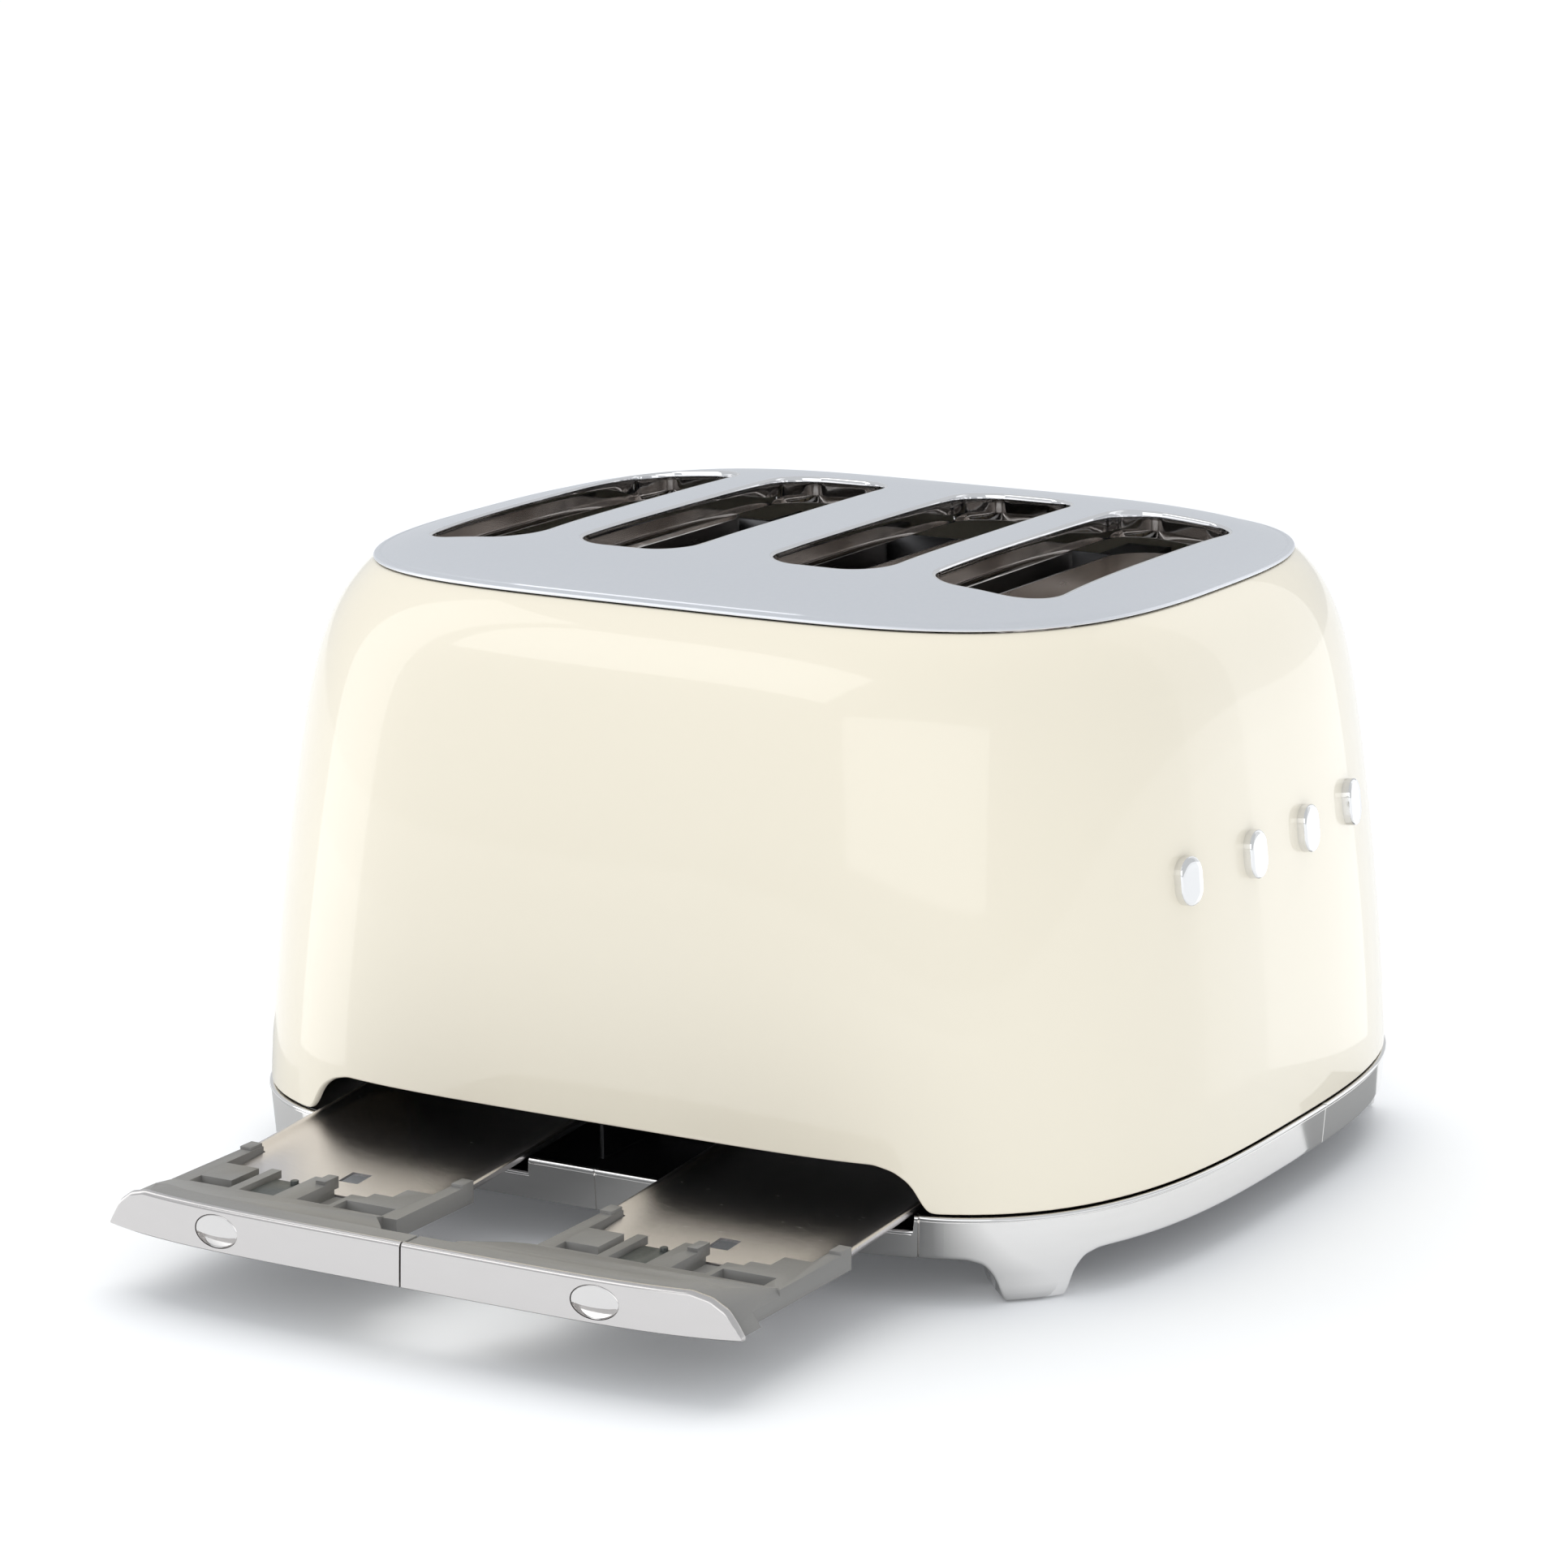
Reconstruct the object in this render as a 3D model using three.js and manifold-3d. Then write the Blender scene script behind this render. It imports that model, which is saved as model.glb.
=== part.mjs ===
// Four-slot pop up toaster with two pull-out crumb trays. Millimetres, +Z up.
// The trays face -Y and the levers, knobs and buttons face +Y.
import * as THREE from 'three';
import { mergeVertices } from 'three/addons/utils/BufferGeometryUtils.js';
import Module from 'manifold-3d';

const wasm = await Module();
wasm.setup();

// ---- driving dimensions -------------------------------------------------
// Plan outlines are superellipses: half sizes x and y, exponents nx and ny.
const BASE = { x: 162.5, y: 148.5, nx: 4.72, ny: 2.96 };
const RIM = { x: 135.9, y: 114.2, nx: 4.42, ny: 2.9 };
const BASE_Z = 26.8;
const RIM_Z = 192.8;
const SHELL_WALL = 2.0;
const SHELL_LOW = 27.5;
const GAP = 0.3;

const DOME_RISE = 9.5;
const DOME_POWER = 5.15;
const PLATE_WALL = 1.6;

const SLOT = { x: 20.6, y: 70.5, r: 14 };
const SLOT_Y = -3.6;
const INNER_SLOT_X = 34.2;
const OUTER_SLOT_X = 90.5;
const SIDE_X = (INNER_SLOT_X + OUTER_SLOT_X) / 2;

const BAND_LOW = 13.4;
const BAND_TOP = 26.5;
const BAND_WALL = 2.4;
const NOTCH_TOP = 22.4;
const PAN_LOW = 14.2;
const PAN_TOP = 16;

const TRAY_X = 64.5;
const TRAY_TILT = THREE.MathUtils.degToRad(4);
const TRAY_PULL = 105;
const PULL_Y = -TRAY_PULL * Math.cos(TRAY_TILT);
const PULL_Z = -TRAY_PULL * Math.sin(TRAY_TILT);
const RAIL_Y = -178;
const RAIL_Z = 26.4;
const FRAME_TOP = 26.6;
const FRAME_LOW = 20.7;
const ARM_OUT = 40.5;
const ARM_IN = 36;
const MOUTH_TOP = 41;
const MOUTH_CORNER = [[94, 41], [99.8, 39.4], [104.4, 36.2], [107.2, 31.8], [108.9, 28.2], [110.4, 26]];
const FASCIA_WALL = 2;
const OVAL = { x: 8.25, z: 5.3, middle: 26.1 };
const TRAY_FRONT = -19;
const TRAY_REAR = 140;

const CHAMBER = { x: 17.2, y: 66.7, r: 5 };
const CHAMBER_LOW = 62;
const STEP_Z = 174;
const LINER_TOP = 188.6;
const LINER_WALL = 0.8;
const WINDOW_OFFSETS = [-42, 0, 42];
const GUARD_X = 14.2;
const GUARD_LOW = 72;
const GUARD_TOP = 166;
const GUARD_REACH = 64.5;
const WIRE_PITCH = 25;
const HEATER_XS = [['outer', 112], ['middle', SIDE_X], ['inner', 13]];
const SLOT_XS = [['outer', OUTER_SLOT_X], ['inner', INNER_SLOT_X]];
const FRONT_PLATE_Y = -77.2;
const REAR_PLATE_Y = 69;
const SHEET = 1.2;

const ROD_Y = 92;
const ROD_R = 3;
const STROKE = 72;
const LEVER_Z = 161.5;
const KNOB_Z = 62;
const BUTTON_ZS = [46, 62, 78];
const BUTTON_X = 30;
const BOARD_Y = 133.4;
const CORD_Z = 44;
const CORD_R = 7.4;
const SHAFT_R = 4;
const BUTTON_HOLE_R = 5.3;
const GUIDE_HALF_WIDTH = 4.6;
const GUIDE_END = 7;

// Room that is larger than the whole body, for cutting and trimming.
const ALL_X = [-170, 170];
const ALL_Y = [-160, 160];
const REAR_ROOM = [110, 160];

// ---- materials ----------------------------------------------------------
function finish(color, roughness, metalness) {
  return { color, roughness, metalness };
}
const CREAM = finish(0xefe6cf, 0.25, 0.0);
const CHROME = finish(0xdcdcdc, 0.12, 1.0);
const SATIN = finish(0xc4c6cb, 0.35, 1.0);
const BRUSHED = finish(0xb9b2ac, 0.4, 1.0);
const GREY_PLASTIC = finish(0x8a8883, 0.55, 0.0);
const DARK_PLASTIC = finish(0x2f3331, 0.5, 0.0);
const DARK_STEEL = finish(0x3a3836, 0.45, 0.9);
const RUBBER = finish(0x1c1c1c, 0.85, 0.0);
const MICA = finish(0xb8a888, 0.7, 0.0);
const CIRCUIT = finish(0x2f6a45, 0.6, 0.0);
const WIRE = finish(0x9c9a96, 0.35, 1.0);

// ---- solids -------------------------------------------------------------
function solidOf(geometry) {
  const bare = new THREE.BufferGeometry();
  bare.setAttribute('position', geometry.getAttribute('position'));
  if (geometry.index) {
    bare.setIndex(geometry.index);
  }
  const welded = mergeVertices(bare, 1e-4);
  return new wasm.Manifold(new wasm.Mesh({
    numProp: 3,
    vertProperties: new Float32Array(welded.getAttribute('position').array),
    triVerts: new Uint32Array(welded.index.array),
  }));
}

function joined(solids) {
  return solids.reduce((whole, piece) => whole.add(piece));
}

function cut(solid, tools) {
  return tools.reduce((whole, tool) => whole.subtract(tool), solid);
}

function box(x, y, z) {
  const geometry = new THREE.BoxGeometry(x[1] - x[0], y[1] - y[0], z[1] - z[0]);
  geometry.translate((x[0] + x[1]) / 2, (y[0] + y[1]) / 2, (z[0] + z[1]) / 2);
  return solidOf(geometry);
}

function span(a, b) {
  return a < b ? [a, b] : [b, a];
}

function extruded(points, depth) {
  const shape = new THREE.Shape(points.map(([a, b]) => new THREE.Vector2(a, b)));
  return new THREE.ExtrudeGeometry(shape, { depth, bevelEnabled: false });
}

function prismZ(points, z) {
  const geometry = extruded(points, z[1] - z[0]);
  geometry.translate(0, 0, z[0]);
  return solidOf(geometry);
}

// Points are (x, z) and the prism runs along Y.
function prismY(points, y) {
  const geometry = extruded(points, y[1] - y[0]);
  geometry.rotateX(Math.PI / 2);
  geometry.translate(0, y[1], 0);
  return solidOf(geometry);
}

// Points are (y, z) and the prism runs along X.
function prismX(points, x) {
  const geometry = extruded(points, x[1] - x[0]);
  geometry.rotateZ(Math.PI / 2);
  geometry.rotateY(Math.PI / 2);
  geometry.translate(x[0], 0, 0);
  return solidOf(geometry);
}

function rod(axis, radius, at, along, sides) {
  const geometry = new THREE.CylinderGeometry(radius, radius, along[1] - along[0], sides);
  const middle = (along[0] + along[1]) / 2;
  if (axis === 'y') {
    geometry.translate(at[0], middle, at[1]);
    return solidOf(geometry);
  }
  geometry.rotateX(Math.PI / 2);
  geometry.translate(at[0], at[1], middle);
  return solidOf(geometry);
}

// A turned piece on the +Y axis from (radius, y) points.
function turnedY(profile, x, z, sides) {
  const points = profile.map(([radius, y]) => new THREE.Vector2(radius, y));
  const geometry = new THREE.LatheGeometry(points, sides);
  geometry.translate(x, 0, z);
  return solidOf(geometry);
}

function roundedRect(halfX, halfY, radius, cx, cy, steps) {
  const points = [];
  const corners = [[1, 1, 0], [-1, 1, 1], [-1, -1, 2], [1, -1, 3]];
  for (const [sx, sy, quarter] of corners) {
    for (let i = 0; i <= steps; i += 1) {
      const angle = (quarter + i / steps) * Math.PI / 2;
      points.push([
        cx + sx * (halfX - radius) + radius * Math.cos(angle),
        cy + sy * (halfY - radius) + radius * Math.sin(angle),
      ]);
    }
  }
  return points;
}

// ---- the superellipse body ----------------------------------------------
function insetShare(z) {
  const t = THREE.MathUtils.clamp((z - BASE_Z) / (RIM_Z - BASE_Z), 0, 1);
  return 0.58 * t ** 1.5 + 0.42 * t ** 12;
}

function outlineAt(z) {
  const share = insetShare(z);
  const t = THREE.MathUtils.clamp((z - BASE_Z) / (RIM_Z - BASE_Z), 0, 1);
  return {
    x: THREE.MathUtils.lerp(BASE.x, RIM.x, share),
    y: THREE.MathUtils.lerp(BASE.y, RIM.y, share),
    nx: THREE.MathUtils.lerp(BASE.nx, RIM.nx, t),
    ny: THREE.MathUtils.lerp(BASE.ny, RIM.ny, t),
  };
}

function grown(outline, amount) {
  return { ...outline, x: outline.x + amount, y: outline.y + amount };
}

// One quarter of an outline, split into equal lengths of arc.
function quarterPoints(outline, count) {
  const fine = [];
  for (let i = 0; i <= 400; i += 1) {
    const angle = i / 400 * Math.PI / 2;
    fine.push([
      outline.x * Math.cos(angle) ** (2 / outline.nx),
      outline.y * Math.sin(angle) ** (2 / outline.ny),
    ]);
  }
  fine[400] = [0, outline.y];
  const lengths = [0];
  for (let i = 1; i <= 400; i += 1) {
    lengths.push(lengths[i - 1] + Math.hypot(fine[i][0] - fine[i - 1][0], fine[i][1] - fine[i - 1][1]));
  }
  const points = [];
  let k = 0;
  for (let i = 0; i < count; i += 1) {
    const goal = lengths[400] * i / count;
    while (lengths[k + 1] < goal) {
      k += 1;
    }
    const part = (goal - lengths[k]) / (lengths[k + 1] - lengths[k]);
    points.push([
      THREE.MathUtils.lerp(fine[k][0], fine[k + 1][0], part),
      THREE.MathUtils.lerp(fine[k][1], fine[k + 1][1], part),
    ]);
  }
  points.push([0, outline.y]);
  return points;
}

function outlinePoints(outline, count = 15) {
  const quarter = quarterPoints(outline, count);
  const back = quarter.slice(1, -1).reverse();
  const half = [...quarter, ...back.map(([x, y]) => [-x, y]), [-outline.x, 0]];
  const lower = half.slice(1, -1).reverse().map(([x, y]) => [x, -y]);
  return [...half, ...lower];
}

// A closed solid through rings of equally many points, each ring {z, points}.
function loft(rings) {
  const count = rings[0].points.length;
  const positions = [];
  for (const ring of rings) {
    for (const [x, y] of ring.points) {
      positions.push(x, y, ring.z);
    }
  }
  const last = rings.length - 1;
  const bottom = positions.length / 3;
  positions.push(0, 0, rings[0].z);
  positions.push(0, 0, rings[last].capZ ?? rings[last].z);
  const faces = [];
  for (let i = 0; i < count; i += 1) {
    const j = (i + 1) % count;
    for (let level = 0; level < last; level += 1) {
      const a = level * count + i;
      const b = level * count + j;
      faces.push(a, b, b + count, a, b + count, a + count);
    }
    faces.push(bottom, j, i);
    faces.push(bottom + 1, last * count + i, last * count + j);
  }
  const geometry = new THREE.BufferGeometry();
  geometry.setAttribute('position', new THREE.Float32BufferAttribute(positions, 3));
  geometry.setIndex(faces);
  return solidOf(geometry);
}

function bodyLoft(amount, zs) {
  return loft(zs.map((z) => ({ z, points: outlinePoints(grown(outlineAt(z), amount)) })));
}

const WALL_ZS = [65, 100, 130, 152, 168, 179, 186.5];

// The layer between two offsets of the body's outside surface.
function bodySkin(inner, outer, z) {
  const levels = [z[0], ...WALL_ZS.filter((level) => level > z[0] + 1 && level < z[1] - 1), z[1]];
  const core = bodyLoft(inner, [z[0] - 5, ...levels, z[1] + 5]);
  return bodyLoft(outer, levels).subtract(core);
}

function slab(outline, z) {
  return loft([
    { z: z[0], points: outlinePoints(outline) },
    { z: z[1], points: outlinePoints(outline) },
  ]);
}

// The tray mouth's half outline (x, z), from the seam out to the flared foot.
function mouthPoints(side, from, shrink) {
  const low = 20;
  const pulled = MOUTH_CORNER.map(([x, z]) => [side * (x - shrink), z - shrink]);
  const foot = pulled[pulled.length - 1][0];
  return [[side * from, low], [side * from, MOUTH_TOP - shrink], ...pulled, [foot, low]];
}

function orientedY(points, y) {
  const area = THREE.ShapeUtils.area(points.map(([a, b]) => new THREE.Vector2(a, b)));
  return prismY(area < 0 ? [...points].reverse() : points, y);
}

const pulledOut = (solid) => solid.translate([0, PULL_Y, PULL_Z]);

// ---- body and base ------------------------------------------------------
function capsuleXZ(cx, halfWidth, low, high) {
  return roundedRect(halfWidth, (high - low) / 2, halfWidth - 0.01, cx, (high + low) / 2, 4);
}

function bodyShell() {
  const skin = bodySkin(-SHELL_WALL, 0, [SHELL_LOW, RIM_Z]);
  const holes = [];
  for (const side of [-1, 1]) {
    holes.push(orientedY(mouthPoints(side, -0.5, 0), [-170, -120]));
    const guideLow = LEVER_Z - STROKE - GUIDE_END;
    const guide = capsuleXZ(side * SIDE_X, GUIDE_HALF_WIDTH, guideLow, LEVER_Z + GUIDE_END);
    holes.push(prismY(guide, REAR_ROOM));
    holes.push(rod('y', SHAFT_R, [side * SIDE_X, KNOB_Z], REAR_ROOM, 12));
    for (const z of BUTTON_ZS) {
      holes.push(rod('y', BUTTON_HOLE_R, [side * BUTTON_X, z], REAR_ROOM, 12));
    }
  }
  holes.push(rod('y', CORD_R, [0, CORD_Z], REAR_ROOM, 14));
  return cut(skin, holes);
}

// Dome height over the rim at share r of the way out.
function domeLoft(outline, low, rise) {
  const shares = [1, 0.975, 0.93, 0.86, 0.74, 0.5];
  const rings = [{ z: low, points: outlinePoints(outline) }];
  for (const share of shares) {
    const ring = { ...outline, x: outline.x * share, y: outline.y * share };
    rings.push({ z: low + 1 + rise * (1 - share ** DOME_POWER), points: outlinePoints(ring) });
  }
  rings[rings.length - 1].capZ = low + 1 + rise;
  return loft(rings);
}

function topPlate() {
  const low = RIM_Z + GAP;
  const outside = domeLoft(RIM, low, DOME_RISE);
  const inside = domeLoft(grown(RIM, -PLATE_WALL), low - PLATE_WALL, DOME_RISE);
  const below = slab(grown(RIM, -PLATE_WALL), [low - 10, low - PLATE_WALL + 0.5]);
  let plate = outside.subtract(inside).subtract(below);
  for (const x of [-OUTER_SLOT_X, -INNER_SLOT_X, INNER_SLOT_X, OUTER_SLOT_X]) {
    const collar = prismZ(roundedRect(SLOT.x + 1.2, SLOT.y + 1.2, SLOT.r + 1.2, x, SLOT_Y, 5), [189, 210]);
    const hole = prismZ(roundedRect(SLOT.x, SLOT.y, SLOT.r, x, SLOT_Y, 5), [180, 220]);
    plate = plate.add(collar.intersect(outside.add(slab(grown(RIM, -3), [180, low + 0.5])))).subtract(hole);
  }
  return plate;
}

const FOOT = { x: 129.4, y: 115.2, angle: 46 };

function footProfile() {
  const half = [[10.3, 0.5], [11.7, 5.6], [14.6, 10.4], [20, 12.9], [24, 17]];
  return [...half.map(([x, z]) => [-x, z]).reverse(), ...half];
}

function foot(sx, sy) {
  const geometry = extruded(footProfile(), 30);
  geometry.rotateX(Math.PI / 2);
  geometry.translate(0, 15, 0);
  geometry.rotateZ(THREE.MathUtils.degToRad(sx * sy * -(90 - FOOT.angle)));
  geometry.translate(sx * (FOOT.x + 5), sy * (FOOT.y + 5), 0);
  return solidOf(geometry);
}

function baseSkirt() {
  const high = grown(BASE, 0.4);
  const low = grown(BASE, -0.6);
  const ringOf = (amount, z) => loft([
    { z: z[0], points: outlinePoints(grown(low, amount)) },
    { z: z[1], points: outlinePoints(grown(high, amount)) },
  ]);
  const whole = loft([
    { z: 0.5, points: outlinePoints(grown(low, -1)) },
    { z: BAND_LOW, points: outlinePoints(low) },
    { z: BAND_TOP - 1, points: outlinePoints(high) },
    { z: BAND_TOP, points: outlinePoints(grown(high, -0.7)) },
  ]);
  const core = ringOf(-BAND_WALL, [BAND_LOW - 20, BAND_TOP - SHEET]);
  const mouth = slab(grown(high, -8), [0, 40]);
  let feet = foot(1, 1).add(foot(1, -1)).add(foot(-1, 1)).add(foot(-1, -1));
  feet = feet.intersect(box(ALL_X, ALL_Y, [0.5, BAND_LOW + 0.01]));
  const footCore = slab(grown(low, -15), [-1, 40]);
  const band = whole.intersect(box(ALL_X, ALL_Y, [BAND_LOW, BAND_TOP + 1]));
  let skirt = cut(band, [core, mouth]).add(whole.intersect(feet).subtract(footCore));
  for (const side of [-1, 1]) {
    const x = span(side * (TRAY_X - ARM_OUT - GAP), side * (TRAY_X + ARM_OUT + GAP));
    skirt = skirt.subtract(box(x, [-160, -120], [NOTCH_TOP, 40]));
    for (const sy of [-1, 1]) {
      skirt = skirt.subtract(rod('z', 4.8, [side * FOOT.x, sy * FOOT.y], [-1, 3.3], 12));
    }
  }
  return skirt;
}

function railZ(y) {
  return RAIL_Z + (y - RAIL_Y) * Math.tan(TRAY_TILT);
}

function basePan() {
  const pieces = [slab(grown(BASE, -0.6 - 1 - BAND_WALL - 0.6), [PAN_LOW, PAN_TOP])];
  for (const side of [-1, 1]) {
    for (const edge of [-1, 1]) {
      const wall = span(side * (TRAY_X + edge * 41.2), side * (TRAY_X + edge * 42.7));
      const ledge = span(side * (TRAY_X + edge * 39.2), side * (TRAY_X + edge * 41.5));
      pieces.push(prismX([[-108, PAN_TOP - 1], [66, PAN_TOP - 1], [66, railZ(66) + 1.5],
        [-108, railZ(-108) + 1.5]], wall));
      pieces.push(prismX([[-70, railZ(-70) - 3.9], [66, railZ(66) - 3.9], [66, railZ(66) - 2.6],
        [-70, railZ(-70) - 2.6]], ledge));
    }
    pieces.push(box(span(side * 68, side * 76), [129, BOARD_Y - GAP], [PAN_TOP - 1, 50]));
  }
  const vents = [];
  for (let i = -4; i <= 4; i += 1) {
    vents.push(box([i * 18 - 2, i * 18 + 2], [-50, 40], [PAN_LOW - 1, PAN_TOP + 1]));
  }
  return cut(joined(pieces), vents);
}

// ---- crumb trays --------------------------------------------------------
function inTrayPlane(solid, side) {
  return solid.rotate([THREE.MathUtils.radToDeg(TRAY_TILT), 0, 0])
    .translate([side * TRAY_X, RAIL_Y, RAIL_Z]);
}

function crumbTray(side) {
  const upper = [[40.3, 0], [39, 0], [37.4, -1.1], [34, -2.1], [29, -2.6]];
  const lower = [[29, -3.4], [34.2, -2.9], [37.8, -1.9], [39.1, -1.4], [39.1, -2.2], [40.3, -2.2]];
  const profile = [
    ...lower,
    ...upper,
    ...[...upper].reverse().map(([x, z]) => [-x, z]),
    ...[...lower].reverse().map(([x, z]) => [-x, z]),
  ];
  const rearWall = [[-37.4, 0], [-34, -3], [34, -3], [37.4, 0]];
  const wall = orientedY(rearWall, [TRAY_REAR - 1, TRAY_REAR]);
  let tray = prismY(profile, [TRAY_FRONT, TRAY_REAR]).add(wall);
  tray = tray.subtract(box([-2.5, 4.5], [-9, -1], [-6, 2]));
  for (const edge of [-1, 1]) {
    tray = tray.subtract(box(span(edge * 35.6, edge * 50), [-30, GAP], [-6, 2]));
  }
  return inTrayPlane(tray, side);
}

function trayFascia(side) {
  const skin = bodySkin(-FASCIA_WALL, 0, [27, 40.4]);
  const plate = skin.intersect(orientedY(mouthPoints(side, 0.25, 0.8), [-170, -100]));
  return pulledOut(plate).subtract(ovalPrism(side, 0.35, [-260, -230]));
}

function ovalPrism(side, extra, y) {
  const points = [];
  for (let i = 0; i < 20; i += 1) {
    const angle = i / 20 * 2 * Math.PI;
    points.push([
      side * TRAY_X + (OVAL.x + extra) * Math.cos(angle),
      OVAL.middle + (OVAL.z + extra) * Math.sin(angle),
    ]);
  }
  return prismY(points, y);
}

function orientedZ(points, z) {
  const area = THREE.ShapeUtils.area(points.map(([a, b]) => new THREE.Vector2(a, b)));
  return prismZ(area < 0 ? [...points].reverse() : points, z);
}

function trayFrame(side) {
  const at = (low, high) => [side * TRAY_X + low, side * TRAY_X + high];
  const carrierSkin = bodySkin(-9.6, -2.3, [27.6, 40.2]);
  const carrier = pulledOut(carrierSkin.intersect(
    orientedY(mouthPoints(side, 0.5, 1.3), [-170, -100])));
  const behind = pulledOut(bodyLoft(-5, [20, 45, 60]));
  const mouth = pulledOut(orientedY(mouthPoints(side, 0, 1.3), [-170, -60]));
  const web = prismX([[-250, FRAME_LOW], [-218, FRAME_LOW], [-218, FRAME_TOP], [-240, 31.9],
    [-250, 31.9]], span(0, side * (TRAY_X + ARM_OUT)));
  const plan = side > 0
    ? [[6, -252], [14, -236], [18, -223], [24, -218], [110, -218], [110, -252]]
    : [[-6, -252], [-29, -222], [-29, -218], [-110, -218], [-110, -252]];
  const pieces = [
    carrier,
    web.intersect(behind).intersect(mouth).intersect(orientedZ(plan, [10, 40])),
    box(at(-ARM_OUT, ARM_OUT), [-219, -197.3], [FRAME_LOW, FRAME_TOP]),
    box(at(-20.5, -17), [-200, -195.5], [FRAME_LOW + 3.4, FRAME_TOP]),
    box(at(-4.5, 0.5), [-200, -195.5], [FRAME_LOW + 3.4, FRAME_TOP]),
    box(at(0, 3.5), [-202, -195], [FRAME_LOW + 3.4, FRAME_TOP + 1.2]),
    box(at(27, ARM_IN + 1), [-200, -193], [FRAME_LOW + 3.4, FRAME_TOP]),
  ];
  for (const edge of [-1, 1]) {
    pieces.push(box(span(side * TRAY_X + edge * ARM_IN, side * TRAY_X + edge * ARM_OUT),
      [-219, RAIL_Y], [FRAME_LOW, FRAME_TOP]));
    pieces.push(box(span(side * TRAY_X + edge * (ARM_IN + 0.5), side * TRAY_X + edge * ARM_OUT),
      [-184, RAIL_Y], [FRAME_TOP - 1, FRAME_TOP + 1]));
  }
  const pocketLow = FRAME_LOW + 1.2;
  const holes = [
    box(at(-35, -20.5), [-217.5, -211.5], [pocketLow, 40]),
    box(at(-24, -20.5), [-212, -196], [pocketLow, 40]),
    box(at(-17, -4.5), [-217.5, -190], [pocketLow - 0.3, 40]),
    box(at(3.5, 15), [-217, -190], [pocketLow, 40]),
    box(at(17, 34.5), [-218, -210.5], [pocketLow, 40]),
    box(at(14.9, 20.5), [-205, -190], [pocketLow, 40]),
    box(at(20.4, 27), [-201, -190], [pocketLow, 40]),
    box(at(-12.2, -5.8), [-252, -216], [21.6, 25.7]),
    ovalPrism(side, 0.4, [-256, -240.5]),
    box(span(side * 0, side * (TRAY_X - ARM_OUT - 0.3)), [-243, -200], [10, 24]),
  ];
  return cut(joined(pieces), holes);
}

function trayButton(side) {
  return ovalPrism(side, 0, [-253.3, -246.6]);
}

function trayLatch(side) {
  const at = (low, high) => [side * TRAY_X + low, side * TRAY_X + high];
  return joined([
    box(at(-16.3, -5.2), [-216, -199.5], [22, 25]),
    box(at(-11.6, -6.4), [-246.3, -215], [22.3, 25]),
    rod('z', 1.3, [side * TRAY_X - 8, -201.5], [24, 26.4], 8),
  ]);
}

// ---- toasting chambers --------------------------------------------------
function slotLiner(x) {
  const tube = (outer, inner, z) => {
    const skin = prismZ(roundedRect(outer.x, outer.y, outer.r, x, SLOT_Y, 3), z);
    const hollow = roundedRect(inner.x, inner.y, inner.r, x, SLOT_Y, 3);
    return skin.subtract(prismZ(hollow, [z[0] - 1, z[1] + 1]));
  };
  const wider = (size, by) => ({ x: size.x + by, y: size.y + by, r: size.r + by });
  const mouth = wider(SLOT, 0.2);
  const wide = wider(mouth, LINER_WALL);
  const sleeve = wider(CHAMBER, LINER_WALL);
  let liner = joined([
    tube(wide, mouth, [STEP_Z, LINER_TOP]),
    tube(wide, CHAMBER, [STEP_Z - LINER_WALL, STEP_Z]),
    tube(sleeve, CHAMBER, [CHAMBER_LOW, STEP_Z]),
  ]);
  for (const offset of WINDOW_OFFSETS) {
    const y = SLOT_Y + offset;
    liner = liner.subtract(box([x - 25, x + 25], [y - 18, y + 18], [80, 158]));
  }
  return liner.subtract(box([x - 4, x + 4], [55, 80], [CHAMBER_LOW - 1, 157]));
}

function breadGuard(x, inward) {
  const at = x - inward * GUARD_X;
  const wires = [];
  for (const z of [GUARD_LOW, GUARD_TOP]) {
    wires.push(rod('y', 1, [at, z], [SLOT_Y - GUARD_REACH, SLOT_Y + GUARD_REACH], 6));
  }
  for (let i = -2; i <= 2; i += 1) {
    wires.push(rod('z', 0.8, [at, SLOT_Y + i * WIRE_PITCH], [GUARD_LOW, GUARD_TOP], 4));
  }
  return joined(wires);
}

function heaterBoard(x) {
  return box([x - 0.6, x + 0.6], [FRONT_PLATE_Y + SHEET + 0.4, REAR_PLATE_Y - 0.4], [68, 170]);
}

function plateOutline(low, gaps) {
  const points = [[-118, 16.4], [-118, 150], [-108, 186], [108, 186], [118, 150], [118, 16.4]];
  for (const [from, to] of gaps) {
    points.push([to, 16.4], [to, low], [from, low], [from, 16.4]);
  }
  return points.reverse();
}

function endPlateFront() {
  const bays = [[20, 108.5], [-108.5, -20]];
  const plate = prismY(plateOutline(36.5, bays), [FRONT_PLATE_Y, FRONT_PLATE_Y + SHEET]);
  const windows = [];
  for (const x of [-OUTER_SLOT_X, -INNER_SLOT_X, INNER_SLOT_X, OUTER_SLOT_X]) {
    windows.push(prismY(capsuleXZ(x, 7, 70, 160), [FRONT_PLATE_Y - 2, FRONT_PLATE_Y + 4]));
  }
  return cut(plate, windows);
}

function endPlateRear() {
  const pieces = [prismY(plateOutline(16.4, []), [REAR_PLATE_Y, REAR_PLATE_Y + SHEET])];
  const holes = [];
  for (const side of [-1, 1]) {
    for (const z of [[30, 32], [182.3, 184.3]]) {
      pieces.push(box([side * SIDE_X - 8, side * SIDE_X + 8], [REAR_PLATE_Y + 0.5, 100], z));
    }
    for (const x of [INNER_SLOT_X, OUTER_SLOT_X]) {
      holes.push(box([side * x - 4, side * x + 4], [REAR_PLATE_Y - 3, REAR_PLATE_Y + 4], [65, 157]));
    }
  }
  return cut(joined(pieces), holes);
}

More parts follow.
